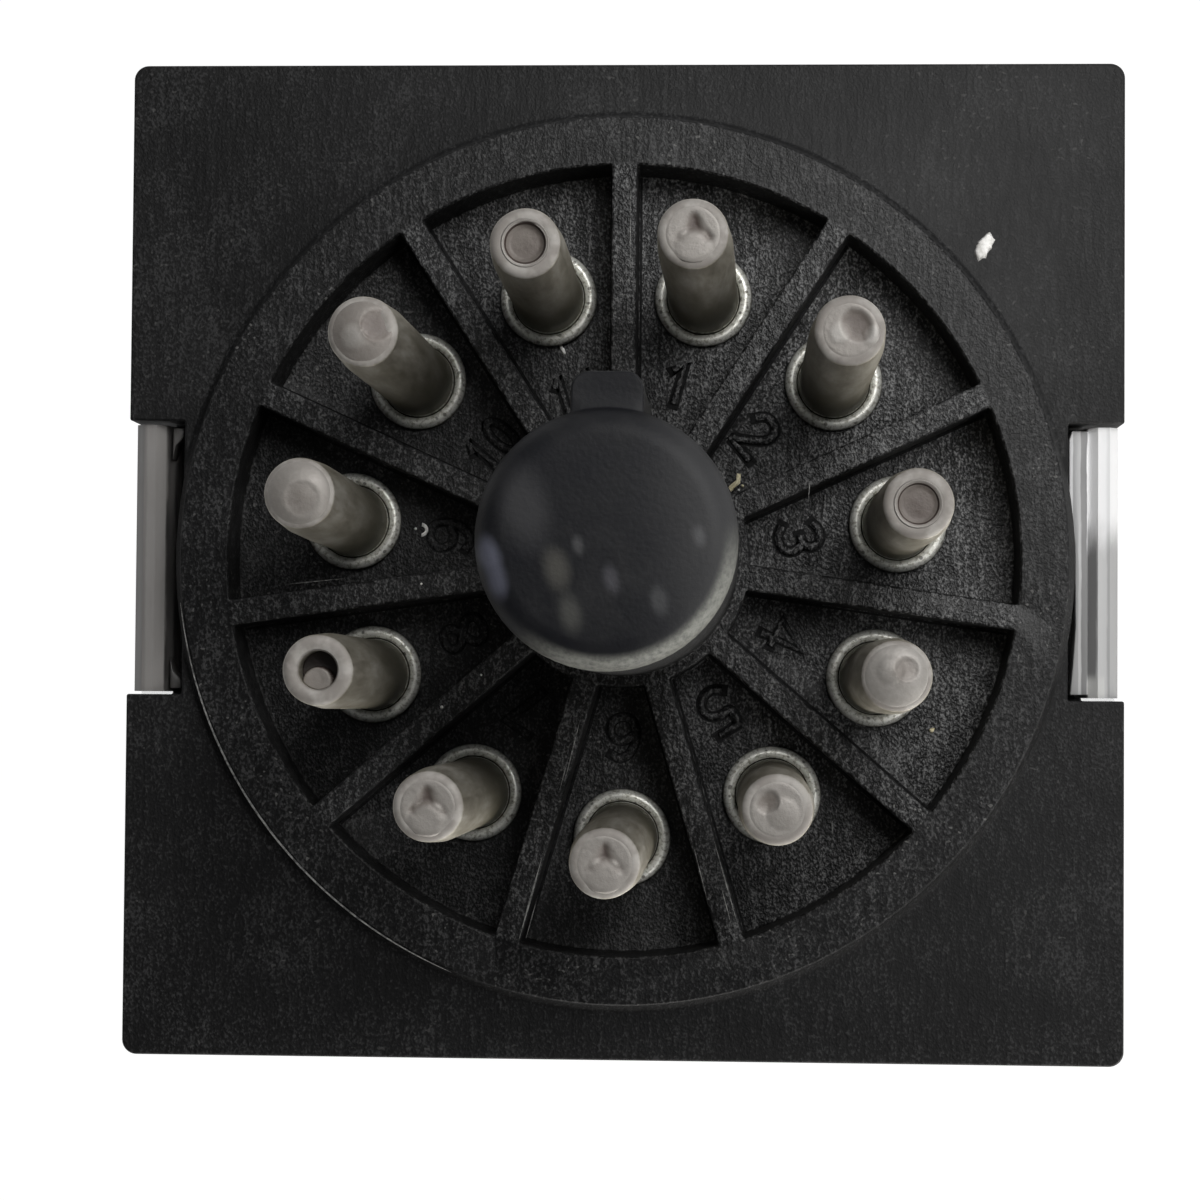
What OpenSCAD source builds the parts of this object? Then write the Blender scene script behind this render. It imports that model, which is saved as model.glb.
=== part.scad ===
// Eleven-pin plug-in relay with three changeover contacts, standing on the crown of its clear
// cover with its pins up. Z = 0 is the outer face of the crown, +Z runs towards the pins and
// +Y points to the key of the spigot. Lengths are in millimetres and angles in degrees.

/* [Housing] */
// Width of the square cover and base
body_w = 34; // [33:0.5:36]
// Height from the crown of the cover to the plate face of the base
body_h = 52.5; // [51:0.5:58]
// Corner radius of the cover and the base
corner_r = 0.5; // [0.3:0.1:1.2]
// Wall of the clear cover
cover_wall = 1.15; // [0.9:0.05:1.3]
// Thickness of the cover's crown
crown_t = 1.4; // [1:0.1:2]
// Radius along the edges of the crown
crown_r = 1.1; // [0.6:0.1:1.3]

/* [Base] */
// Thickness of the base's flange, which closes the cover
flange_t = 2.5; // [2:0.1:3]
// Side clearance between the base's skirt and the cover
plug_gap = 0.1; // [0.05:0.05:0.2]
// Wall of the skirt that plugs into the cover
skirt_t = 1.4; // [1:0.1:2]
// Length of the skirt below the flange
skirt_h = 3.8; // [2:0.2:4.4]
// Radius of the raised ring
ring_r = 15.1; // [14.6:0.1:15.2]
// Fillet at the foot of the raised ring
ring_foot = 0.25; // [0.1:0.05:0.3]
// Height of the raised ring above the plate face
ring_rise = 0.6; // [0.3:0.1:1]
// Outer radius of the recessed sectors
sector_r = 13.45; // [12.8:0.05:14]
// Depth of the sectors below the top of the ring
sector_depth = 2.3; // [1.5:0.1:2.8]
// Thickness of the ribs between the sectors
rib_t = 0.86; // [0.6:0.02:1.2]
// Radius of the hub around the spigot
hub_r = 4.35; // [4.1:0.05:5]
// Thickness of the base under the sectors
floor_t = 2.2; // [1.8:0.1:2.6]

/* [Latches] */
// Length of the notches in the sides of the base
notch_l = 9.4; // [8:0.2:11]
// Depth of the notches from the base's edge
notch_d = 1.9; // [1.8:0.05:2.1]
// Clearance at each end of a latch tab
tab_gap = 0.1; // [0.05:0.05:0.3]
// Distance of a tab's outer face inside the base's edge
tab_inset = 0.15; // [0.05:0.05:0.25]
// Distance of a tab's end below the plate face
tab_drop = 0.35; // [0.2:0.05:0.6]
// Hook of the barb on each tab
barb_d = 0.35; // [0.2:0.05:0.4]
// Height of the ledge that the barbs hook over
ledge_h = 0.7; // [0.4:0.1:1]
// Chamfer on the end of each tab
tab_chamfer = 0.3; // [0.1:0.05:0.4]
// Clearance between the cover's rim and the flange, and under the barbs
seat_gap = 0.1; // [0.05:0.05:0.2]

/* [Spigot] */
// Diameter of the keyed spigot
spigot_d = 7.9; // [7.7:0.05:8.1]
// Height of the spigot above the plate face
spigot_h = 13.3; // [12.5:0.1:15]
// Radius of the rounded edge at the spigot's tip
spigot_edge = 0.9; // [0.4:0.1:1.3]
// Wall of the hollow spigot
spigot_wall = 1.3; // [1:0.1:1.8]
// Width of the key
key_w = 2.2; // [1.8:0.1:2.6]
// Height of the key beyond the spigot's side
key_d = 1.1; // [0.8:0.1:1.4]
// Distance of the key's end below the spigot's tip
key_drop = 0.8; // [0.4:0.1:2]

/* [Pins] */
// Number of pins
pin_count = 11; // [11]
// Diameter of the pin circle
pin_circle_d = 19.05; // [18.8:0.05:19.3]
// Diameter of a pin
pin_d = 2.36; // [2.3:0.02:2.42]
// Height of the pins above the plate face
pin_h = 12.2; // [11:0.1:13]
// Bore of a pin
pin_bore_d = 1.18; // [1.12:0.02:1.4]
// Diameter of the rolled collar on a pin
collar_d = 3.3; // [3.1:0.1:3.7]
// Height of the rolled collar
collar_h = 0.5; // [0.3:0.05:0.8]
// Diameter of the riveted inner end of a pin
flare_d = 3.2; // [2.8:0.1:3.6]
// Thickness of the riveted inner end
flare_t = 0.4; // [0.3:0.05:0.6]
// Height of the boss around each pin inside the base
boss_h = 1; // [0.6:0.1:1.4]
// Wall of the boss around each pin
boss_wall = 0.9; // [0.6:0.1:1]
// Clearance of a pin or a screw in its hole
hole_gap = 0.05; // [0.02:0.01:0.1]
// Length of the solder plug in a pin's tip
solder_l = 2.4; // [1.5:0.1:3]

/* [Magnet] */
// Room for the contacts between the yoke and the side of the relay
contact_room = 10.8; // [10.6:0.1:11]
// Thickness of the yoke
yoke_t = 1.8; // [1.4:0.1:2]
// Distance of the yoke's edges inside the sides of the bobbin
yoke_inset = 0.2; // [0:0.05:0.6]
// Free height between the crown and the tip of the yoke
armature_room = 7.1; // [6.5:0.1:8]
// Height between the yoke's foot and the inside of the base
wiring_gap = 5; // [4.6:0.1:5.4]
// Diameter of the core
core_d = 6.6; // [6:0.1:7]
// Diameter of the pole shoe
pole_d = 9.2; // [8.4:0.2:10]
// Thickness of the pole shoe
pole_t = 1.4; // [1:0.1:1.8]
// Clearance between the bobbin's square flanges and the cover
bobbin_room = 1.45; // [1.3:0.05:2]
// Thickness of the bobbin's flanges
bobbin_t = 1.1; // [0.8:0.1:1.4]
// Wall of the bobbin's tube
bobbin_wall = 0.9; // [0.7:0.1:1.2]
// Clearance between the bobbin and the yoke's leg
bobbin_gap = 0.4; // [0.2:0.05:0.5]
// Depth of the winding below the edge of the bobbin's flanges
winding_inset = 0.9; // [0.6:0.1:1.4]
// Thickness of the tape around the winding
tape_t = 0.15; // [0.1:0.05:0.3]
// Length of bare winding left at each end of the tape
tape_inset = 1.2; // [0.5:0.1:3]

/* [Armature] */
// Angle that the armature turns through when the coil pulls in
pull_in_deg = 3.5; // [3:0.1:3.8]
// Thickness of the armature
armature_t = 1.6; // [1.4:0.1:1.8]
// Distance of the tail's edges inside the edges of the yoke
tail_inset = 1; // [0.8:0.1:1.5]
// Clearance between the tail and the yoke at rest
tail_gap = 0.3; // [0.2:0.05:0.4]
// Clearance between the armature and the knife edge of the yoke
pivot_gap = 0.05; // [0.03:0.01:0.08]
// Clearance between the pulled-in armature and the pole shoe
pole_gap = 0.1; // [0.06:0.01:0.15]
// Clearance between the armature and the horns beside it
horn_gap = 0.2; // [0.15:0.05:0.3]
// Length of the horns on the tip of the yoke
horn_l = 2.4; // [2:0.1:3]
// Width of the horns
horn_w = 1.5; // [1.2:0.1:2]

/* [Contacts] */
// Distance from an outer pole to the block's screw beside it
pole_side = 4; // [3.8:0.1:4.2]
// Distance of the contacts below the block
contact_drop = 6.4; // [6:0.1:7]
// Free length of the leaves between the carrier and the contacts
leaf_free = 11; // [10:0.1:12]
// Width of the contact strips and the moving leaves
strip_w = 4; // [3.6:0.1:4.2]
// Thickness of a fixed contact strip
strip_t = 0.5; // [0.4:0.05:0.6]
// Thickness of a moving leaf
leaf_t = 0.25; // [0.2:0.05:0.35]
// Diameter of a contact button
button_d = 3.4; // [3:0.1:3.6]
// Height of a contact button
button_h = 0.75; // [0.6:0.05:0.85]
// Crown of a contact button
button_crown = 0.15; // [0.1:0.05:0.25]
// Clearance left between closed contacts
contact_gap = 0.06; // [0.04:0.01:0.1]
// Overhang of the strips and leaves past the contacts' centre
strip_end = 2.3; // [2:0.1:2.6]

/* [Carrier and block] */
// Depth of the insulating carrier
carrier_d = 4.1; // [3.8:0.1:4.4]
// Height of the insulating carrier
carrier_h = 8; // [7:0.2:9]
// Distance of the carrier's top below the tail's end
carrier_inset = 1; // [0.6:0.1:2]
// Depth of the leaves inside the carrier
leaf_inset = 2.5; // [2.3:0.1:2.7]
// Height of the contact block
block_h = 7.2; // [6:0.2:7.6]
// Distance of the block's faces inside the cover
block_gap = 0.6; // [0.4:0.1:0.8]
// Wall of the block beside a strip
block_wall = 0.6; // [0.5:0.05:0.7]
// Clearance of a strip or leaf in its slot
slot_gap = 0.05; // [0.03:0.01:0.08]
// Thickness of the barriers between the poles
barrier_t = 0.9; // [0.6:0.1:1.2]
// Length of the barriers below the block
barrier_l = 9.4; // [8:0.2:10]

/* [Return spring] */
// Wire diameter of the return spring
spring_wire = 0.4; // [0.3:0.05:0.45]
// Mean radius of the spring's coils and hooks
spring_r = 1.3; // [1.2:0.05:1.4]
// Number of turns
spring_turns = 13; // [8:1:16]
// Distance of the spring beside the yoke's leg
spring_side = 2; // [1.8:0.1:2.2]

/* [Screws and wires] */
// Diameter of the screws
screw_d = 2.4; // [2:0.1:2.6]
// Diameter of a screw's head
head_d = 4.3; // [4:0.1:4.5]
// Height of a screw's head
head_h = 1.6; // [1.2:0.1:2]
// Depth of a screw's thread in its post
thread_l = 4; // [3:0.2:4.2]
// Wall of the screw posts
post_wall = 1.05; // [0.9:0.05:1.2]
// Diameter of the lead wires
lead_d = 0.8; // [0.6:0.05:0.9]
// Diameter of the braided wires
braid_d = 0.96; // [0.8:0.02:1]

/* [Hidden] */
$fn = 64;
// Steps along a quarter circle in an outline
arc_steps = 5;
// Sides of a round wire, and steps between two points of its route
wire_sides = 6;
wire_steps = 3;
// Extra length of a cutting tool past the face that it cuts, and of a piece sunk into its body
past = 1;

// Levels along Z
plate_z = body_h;
ring_top = plate_z + ring_rise;
floor_z = ring_top - sector_depth;
inner_z = floor_z - floor_t;
flange_z = plate_z - flange_t;
skirt_z = flange_z - skirt_h;
ledge_z = flange_z + ledge_h;
foot_z = inner_z - wiring_gap;
foot_in_z = foot_z - yoke_t;
pivot_z = crown_t + armature_room;
pole_z = pivot_z - pivot_gap + pole_gap;
bobbin_z = pole_z + pole_t;
winding_z = bobbin_z + bobbin_t;
winding_l = foot_in_z - bobbin_t - winding_z;
block_z = foot_z - block_h;
contact_z = block_z - contact_drop;
contact_arm = contact_z - pivot_z;
carrier_top = contact_z - leaf_free;
carrier_z = carrier_top - carrier_h;
tail_top = carrier_top + carrier_inset;
spigot_top = plate_z + spigot_h;
pin_top = plate_z + pin_h;
pin_mouth = inner_z - boss_h - flare_t;
solder_z = pin_top - solder_l;

// Places along Y
yoke_y = contact_room - body_w / 2;
leg_in_y = yoke_y + yoke_t;
bobbin_w = body_w / 2 - cover_wall - bobbin_room - leg_in_y - bobbin_gap;
coil_y = leg_in_y + bobbin_gap + bobbin_w / 2;
tail_in_y = yoke_y - tail_gap;
tail_y = tail_in_y - armature_t;
leaf_y = tail_y - leaf_inset;
nc_face_y = leaf_y + leaf_t / 2 + 2 * button_h + contact_gap;
nc_y = nc_face_y + strip_t;

// Widths and radii
cover_in_w = body_w - 2 * cover_wall;
plug_w = cover_in_w - 2 * plug_gap;
skirt_in_w = plug_w - 2 * skirt_t;
notch_x = body_w / 2 - notch_d;
tab_x = body_w / 2 - tab_inset;
tab_in_x = body_w / 2 - cover_wall;
tab_top = plate_z - tab_drop;
pin_r = pin_d / 2;
bore_r = pin_bore_d / 2;
winding_r = bobbin_w / 2 - winding_inset;
post_r = screw_d / 2 + post_wall;
block_w = cover_in_w - 2 * block_gap;
block_out_y = -block_w / 2;
block_in_y = nc_y + block_wall;
yoke_w = bobbin_w - 2 * yoke_inset;
armature_w = yoke_w - 2 * (horn_w + horn_gap);
tail_w = yoke_w - 2 * tail_inset;
button_r = button_d / 2;
shank_r = button_r * 0.4;
tenon_r = core_d / 2 - 0.9;
lead_r = lead_d / 2;
braid_r = braid_d / 2;

// Radius of the sphere that crowns a contact button, and where a pulled-in button ends:
// its sphere's centre turns about the pivot, and its face lies one radius past it
crown_sphere = (button_r * button_r + button_crown * button_crown) / (2 * button_crown);
leaf_face_y = leaf_y - leaf_t / 2 - button_h;
sphere_dy = leaf_face_y + crown_sphere - yoke_y;
pulled_face_y = yoke_y + sphere_dy * cos(pull_in_deg) - contact_arm * sin(pull_in_deg)
    - crown_sphere;
no_face_y = pulled_face_y - contact_gap - button_h;
no_y = no_face_y - strip_t;

// Room past a screw's tip and around it in the yoke, room between a screw's head and the
// bobbin, and metal around its head on the ears
tip_room = 0.5;
screw_play = 0.2;
head_room = 0.65;
ear_rim = 0.3;
ear_side = 0.85;
// Screws: beside the coil, and at the ends of the contact block
foot_screw_x = (bobbin_w + head_d) / 2 + head_room;
foot_screw_y = coil_y;
block_screw_x = block_w / 2 - post_r;
block_screw_y = (block_out_y + block_in_y) / 2;
pole_pitch = block_screw_x - pole_side;
// Rivets that hold the carrier to the tail, between the poles
rivet_x = pole_pitch / 2;
rivet_r = 0.9;
rivet_head_r = 1.7;
rivet_head_h = 0.8;
// Terminal posts on the bobbin, near the corners of its flange
terminal_inset = 1.8;
terminal_x = bobbin_w / 2 - terminal_inset;
terminal_y = coil_y + bobbin_w / 2 - terminal_inset;
terminal_w = 0.7;
terminal_rise = 2.8;
terminal_depth = 2.2;
terminal_boss_w = 2.2;
terminal_boss_h = 1.6;
// Distance from a terminal post to the yoke's foot
terminal_room = 1.45;
// Corners of the strips and leaves, and the solder tags at their ends
strip_corner = 0.8;
tag_w = 2;
tag_corner = 0.5;
tag_rise = 1.8;
tag_hole_r = 0.4;
leaf_tag_rise = 1.7;
// Height of the armature's wide tail above the pivot
tail_start = 1.5;
// Hooks of the return spring: the holes that they pass through, the metal around a hole and
// beyond a loop's centre, and the loops' centres above the tail and below the block
hook_hole_r = 0.5;
lug_rim = 1;
lug_end = 0.4;
lower_rise = 1.5;
upper_drop = 2.3;
spring_x = yoke_w / 2 + spring_side;
lower_hook = [spring_x, tail_in_y - armature_t / 2, tail_top + lower_rise];
upper_hook = [spring_x, yoke_y + yoke_t / 2, block_z - upper_drop];

pin_names = [for (n = [1:pin_count]) str("pin_", n)];

// ---- Shared shapes ----

function pin_angle(n) = 90 - (n - 0.5) * 360 / pin_count;
function pin_xy(n) = pin_circle_d / 2 * [cos(pin_angle(n)), sin(pin_angle(n))];
function unit(v) = v / norm(v);

// Points along an arc in the plane
function arc(centre, r, from, to, steps = arc_steps) =
    [for (i = [0:steps]) let (a = from + (to - from) * i / steps) centre + r * [cos(a), sin(a)]];

// Turns a point of the YZ plane about the pivot
function about_pivot(p, a) = let (d = p - [yoke_y, pivot_z])
    [yoke_y + d[0] * cos(a) - d[1] * sin(a), pivot_z + d[0] * sin(a) + d[1] * cos(a)];

// The direction halfway between the two runs that meet at a point of a route
function heading(p, i) = unit((i > 0 ? unit(p[i] - p[i - 1]) : [0, 0, 0])
    + (i < len(p) - 1 ? unit(p[i + 1] - p[i]) : [0, 0, 0]));

// A smooth curve through the points of a route
function curve(p, steps = wire_steps) = concat(
    [for (i = [0:len(p) - 2], s = [0:steps - 1])
        let (t = s / steps, u = 1 - t, run = norm(p[i + 1] - p[i]))
        u * u * (1 + 2 * t) * p[i] + t * t * (3 - 2 * t) * p[i + 1]
            + run * t * u * (u * heading(p, i) - t * heading(p, i + 1))],
    [p[len(p) - 1]]);

function tangents(p) =
    [for (i = [0:len(p) - 1]) unit(p[min(i + 1, len(p) - 1)] - p[max(i - 1, 0)])];
function square_to(n, t) = unit(n - (n * t) * t);
// One side direction for each ring of a wire, carried along so that the wire doesn't twist
function side_ways(t) =
    [for (i = 0, n = square_to([0.3, 0.2, 1], t[0]); i < len(t);
          n = i + 1 < len(t) ? square_to(n, t[i + 1]) : n, i = i + 1) n];

// A round wire along a list of points
module wire(points, r, sides = wire_sides) {
    t = tangents(points);
    n = side_ways(t);
    rings = [for (i = [0:len(points) - 1], s = [0:sides - 1])
        let (a = 360 * s / sides) points[i] + r * (cos(a) * n[i] + sin(a) * cross(t[i], n[i]))];
    walls = [for (i = [0:len(points) - 2], s = [0:sides - 1])
        let (k = (s + 1) % sides, a = i * sides, b = a + sides)
        each [[a + s, a + k, b + k], [a + s, b + k, b + s]]];
    first = [[for (s = [sides - 1:-1:0]) s]];
    last = [[for (s = [0:sides - 1]) (len(points) - 1) * sides + s]];
    polyhedron(rings, concat(walls, first, last));
}

// A square with round corners, made of exact arcs
module rounded_square(w, r, h = undef) {
    l = is_undef(h) ? w : h;
    square([w - 2 * r, l], center = true);
    square([w, l - 2 * r], center = true);
    for (sx = [-1, 1], sy = [-1, 1])
        translate([sx * (w / 2 - r), sy * (l / 2 - r)]) circle(r);
}

// Extrudes an outline of the YZ plane along X, centred
module along_x(w) {
    rotate([90, 0, 90]) linear_extrude(w, center = true) children();
}

// Extrudes an outline of the XZ plane along Y, from y towards -Y
module along_y(y, t) {
    translate([0, y, 0]) rotate([90, 0, 0]) linear_extrude(t) children();
}

module at_pin(n) {
    xy = pin_xy(n);
    translate([xy[0], xy[1], 0]) children();
}

// ---- Housing ----

module sector_pockets() {
    translate([0, 0, floor_z]) linear_extrude(sector_depth + past) difference() {
        circle(sector_r);
        circle(hub_r);
        for (k = [0:pin_count - 1])
            rotate(90 - k * 360 / pin_count)
                translate([0, -rib_t / 2]) square([sector_r + past, rib_t]);
    }
}

// One side notch: the tab's passage above the ledge, and the latch's room under it
module side_notch() {
    long = notch_d + past;
    difference() {
        translate([notch_x, -notch_l / 2, ledge_z]) cube([long, notch_l, flange_t + ring_rise]);
        translate([0, 0, ledge_z]) cylinder(r = ring_r + ring_foot, h = flange_t + ring_rise);
    }
    translate([plug_w / 2, -notch_l / 2, flange_z - past]) cube([long, notch_l, ledge_h + past]);
}

module spigot_solid() {
    r = spigot_d / 2;
    rotate_extrude() polygon(concat(
        [[0, floor_z], [r, floor_z]],
        arc([r - spigot_edge, spigot_top - spigot_edge], spigot_edge, 0, 90),
        [[0, spigot_top]]));
    // The key runs up the side of the spigot that points to +Y
    translate([0, 0, floor_z]) linear_extrude(spigot_top - key_drop - floor_z)
        translate([0, (r + key_d) / 2]) rounded_square(key_w, key_w / 4, r + key_d);
}

module post(x, y) {
    translate([x, y, foot_z]) cylinder(r = post_r, h = inner_z - foot_z + past / 2);
}

module post_hole(x, y) {
    translate([x, y, foot_z - past]) cylinder(d = screw_d + 2 * hole_gap, h = thread_l + past + tip_room);
}

module base() color("#1b1b1e") difference() {
    union() {
        translate([0, 0, flange_z]) linear_extrude(flange_t) rounded_square(body_w, corner_r);
        translate([0, 0, plate_z]) cylinder(r1 = ring_r + ring_foot, r2 = ring_r, h = ring_foot);
        translate([0, 0, plate_z]) cylinder(r = ring_r, h = ring_rise);
        difference() {
            translate([0, 0, skirt_z]) linear_extrude(flange_z - skirt_z)
                rounded_square(plug_w, corner_r);
            translate([0, 0, skirt_z - past]) linear_extrude(inner_z - skirt_z + past)
                rounded_square(skirt_in_w, corner_r);
        }
        spigot_solid();
        for (side = [-1, 1]) {
            post(side * foot_screw_x, foot_screw_y);
            post(side * block_screw_x, block_screw_y);
        }
        for (n = [1:pin_count])
            at_pin(n) translate([0, 0, inner_z - boss_h])
                cylinder(r = pin_r + boss_wall, h = boss_h + past / 2);
    }
    sector_pockets();
    side_notch();
    mirror([1, 0, 0]) side_notch();
    // The spigot is hollow from the inside, up to its end wall
    translate([0, 0, inner_z - past])
        cylinder(d = spigot_d - 2 * spigot_wall, h = spigot_top - spigot_wall - inner_z + past);
    for (n = [1:pin_count])
        at_pin(n) translate([0, 0, inner_z - boss_h - past])
            cylinder(r = pin_r + hole_gap, h = floor_z - inner_z + boss_h + 2 * past);
    for (side = [-1, 1]) {
        post_hole(side * foot_screw_x, foot_screw_y);
        post_hole(side * block_screw_x, block_screw_y);
    }
}

// A box with its upright edges and its lower edges rounded, all by exact arcs
module crowned_box(w, h, edge_r, low_r) {
    intersection() {
        linear_extrude(h) rounded_square(w, edge_r);
        along_x(w) crown_outline(w, h, low_r);
        rotate([0, 0, 90]) along_x(w) crown_outline(w, h, low_r);
    }
}

module crown_outline(w, h, r) {
    translate([-w / 2, r]) square([w, h - r]);
    translate([-w / 2 + r, 0]) square([w - 2 * r, h]);
    for (side = [-1, 1]) translate([side * (w / 2 - r), r]) circle(r);
}

// A latch tab's end with its chamfers, and the barb that hooks over the ledge
module latch_tab() {
    width = notch_l - 2 * tab_gap;
    barb_z = ledge_z + seat_gap;
    rim_z = flange_z - seat_gap;
    rotate([90, 0, 0]) linear_extrude(width, center = true) polygon([
        [tab_in_x, rim_z - past],
        [tab_in_x, barb_z],
        [tab_in_x - barb_d, barb_z],
        [tab_in_x, tab_top - tab_chamfer],
        [tab_in_x + tab_chamfer, tab_top],
        [tab_x - tab_chamfer, tab_top],
        [tab_x, tab_top - tab_chamfer],
        [tab_x, rim_z - past]]);
}

module cover() color([0.86, 0.9, 0.92, 0.35]) {
    rim_z = flange_z - seat_gap;
    difference() {
        crowned_box(body_w, rim_z, corner_r, crown_r);
        translate([0, 0, crown_t])
            crowned_box(cover_in_w, rim_z, corner_r / 2, crown_r / 2);
    }
    latch_tab();
    mirror([1, 0, 0]) latch_tab();
}

// ---- Pins ----

// A drawn tube: riveted inner end, shank, rolled collar on the sector floor, rounded tip
module pin(n) color("#a8a49a") {
    collar_r = collar_d / 2;
    rim = collar_h * 0.36;
    root_r = pin_r + 0.14;
    tip_round = (pin_r - bore_r) * 0.42;
    at_pin(n) rotate_extrude() polygon(concat(
        [[bore_r, pin_mouth], [flare_d / 2, pin_mouth], [flare_d / 2, pin_mouth + flare_t],
         [pin_r, pin_mouth + flare_t], [pin_r, floor_z], [collar_r, floor_z]],
        arc([collar_r - rim, floor_z + collar_h - rim], rim, 0, 180, 6),
        [[collar_r - 2 * rim, floor_z + collar_h / 2], [root_r, floor_z + collar_h / 2],
         [root_r, floor_z + 2 * collar_h], [pin_r, floor_z + 3 * collar_h]],
        arc([pin_r - tip_round, pin_top - tip_round], tip_round, 0, 90, 3),
        [[bore_r, pin_top]]));
}

// The solder stands at a different level in each tip: negative is a hollow, positive is a dome
solder_level = [-0.4, -0.1, -0.25, 0.35, -0.05, -0.3, -0.3, -0.9, 0.4, 0.3, -0.35];

module solder_joints() color("#b3b0a6") {
    plug_r = bore_r - 0.01;
    dome_r = pin_r * 0.8;
    for (n = [1:pin_count]) at_pin(n) {
        level = solder_level[n - 1];
        if (level > 0)
            rotate_extrude() polygon(concat(
                [[0, solder_z], [plug_r, solder_z], [plug_r, pin_top]],
                [for (a = [0:15:90]) [dome_r * cos(a), pin_top + level * sin(a)]]));
        else
            translate([0, 0, solder_z]) cylinder(r = plug_r, h = solder_l + level);
    }
}

// ---- Magnet ----

// The L section of the yoke: the leg runs along Z, and the foot lies under the base
module yoke_outline() {
    bend_in = bobbin_gap;
    bend = bend_in + yoke_t;
    centre = [yoke_y + bend, foot_z - bend];
    polygon(concat(
        [[leg_in_y, pivot_z]],
        arc(centre, bend_in, 180, 90),
        [[body_w / 2, foot_in_z], [body_w / 2, foot_z]],
        arc(centre, bend, 90, 180),
        [[yoke_y, pivot_z]]));
}

// The yoke from above: the leg's width, two ears for the screws and a narrower front
module yoke_plan() {
    corner = 1;
    ear_l = head_d + 2 * ear_side;
    front_w = 2 * (terminal_x - terminal_w / 2 - terminal_room);
    front_y = coil_y + core_d;
    translate([-yoke_w / 2, yoke_y]) square([yoke_w, coil_y + ear_l / 2 - yoke_y]);
    translate([0, foot_screw_y])
        rounded_square(2 * (foot_screw_x + head_d / 2 + ear_rim), corner, ear_l);
    translate([0, (coil_y + front_y) / 2]) rounded_square(front_w, corner, front_y - coil_y);
}

// A flat lug beside a plate, with a hole that a spring hook passes through
module spring_lug(from_x, hook, thick, up) {
    reach = sqrt(spring_r * spring_r - thick * thick / 4);
    hole_z = hook[2] + up * (spring_r + reach) / 2;
    edge_z = hook[2] - up * lug_end;
    far_z = hole_z + up * (hook_hole_r + lug_rim);
    difference() {
        translate([from_x, hook[1] - thick / 2, min(edge_z, far_z)])
            cube([spring_x + hook_hole_r + lug_rim - from_x, thick, abs(far_z - edge_z)]);
        translate([spring_x, hook[1] + thick, hole_z]) rotate([90, 0, 0])
            cylinder(r = hook_hole_r, h = 2 * thick);
    }
}

module yoke() color("#9a9b9c") difference() {
    union() {
        intersection() {
            along_x(body_w) yoke_outline();
            linear_extrude(foot_z) yoke_plan();
        }
        // Horns that keep the armature from sliding sideways off the knife edge
        for (side = [-1, 1])
            translate([side * (yoke_w - horn_w) / 2 - horn_w / 2, yoke_y, pivot_z - horn_l])
                cube([horn_w, yoke_t, horn_l + past]);
        spring_lug(yoke_w / 2 - past, upper_hook, yoke_t, 1);
    }
    translate([0, coil_y, foot_in_z - past])
        cylinder(r = tenon_r + hole_gap, h = yoke_t + 2 * past);
    for (side = [-1, 1])
        translate([side * foot_screw_x, foot_screw_y, foot_in_z - past])
            cylinder(d = screw_d + 2 * screw_play, h = yoke_t + 2 * past);
}

module core() color("#8f9294") {
    shaft_r = core_d / 2;
    pole_chamfer = 0.2;
    // The tenon's end is staked over the yoke's foot
    stake_r = tenon_r + 0.6;
    stake_h = 0.7;
    stake_chamfer = 0.3;
    translate([0, coil_y, 0]) rotate_extrude() polygon([
        [0, pole_z], [pole_d / 2 - pole_chamfer, pole_z], [pole_d / 2, pole_z + pole_chamfer],
        [pole_d / 2, bobbin_z], [shaft_r, bobbin_z], [shaft_r, foot_in_z], [tenon_r, foot_in_z],
        [tenon_r, foot_z], [stake_r, foot_z], [stake_r - stake_chamfer, foot_z + stake_h],
        [0, foot_z + stake_h]]);
}

module bobbin() color("#e8e4d8") {
    tube_r = core_d / 2 + hole_gap;
    flange_corner = 2.6;
    boss_corner = 0.4;
    hole_w = terminal_w + 2 * slot_gap;
    difference() {
        union() {
            translate([0, coil_y, bobbin_z])
                cylinder(r = tube_r + bobbin_wall, h = foot_in_z - bobbin_z);
            for (z = [bobbin_z, foot_in_z - bobbin_t])
                translate([0, coil_y, z])
                    linear_extrude(bobbin_t) rounded_square(bobbin_w, flange_corner);
            // Bosses that the terminal posts are pressed into
            for (side = [-1, 1])
                translate([side * terminal_x, terminal_y, foot_in_z - bobbin_t - terminal_boss_h])
                    linear_extrude(terminal_boss_h + bobbin_t / 2)
                        rounded_square(terminal_boss_w, boss_corner);
        }
        translate([0, coil_y, bobbin_z - past]) cylinder(r = tube_r, h = foot_z);
        for (side = [-1, 1])
            translate([side * terminal_x, terminal_y, foot_in_z - terminal_depth / 2])
                cube([hole_w, hole_w, terminal_depth + slot_gap], center = true);
    }
}

module winding() color("#9c5a2c") difference() {
    inner_r = core_d / 2 + hole_gap + bobbin_wall;
    translate([0, coil_y, winding_z]) cylinder(r = winding_r, h = winding_l);
    translate([0, coil_y, winding_z - past]) cylinder(r = inner_r, h = winding_l + 2 * past);
}

module coil_tape() color("#d9c27a") difference() {
    translate([0, coil_y, winding_z + tape_inset])
        cylinder(r = winding_r + tape_t, h = winding_l - 2 * tape_inset);
    translate([0, coil_y, winding_z]) cylinder(r = winding_r, h = winding_l);
}

module coil_terminals() color("#b9b7af") for (side = [-1, 1])
    translate([side * terminal_x - terminal_w / 2, terminal_y - terminal_w / 2,
               foot_in_z - terminal_depth + slot_gap])
        cube([terminal_w, terminal_w, terminal_depth + terminal_rise]);

// ---- Armature and what it carries ----

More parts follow.
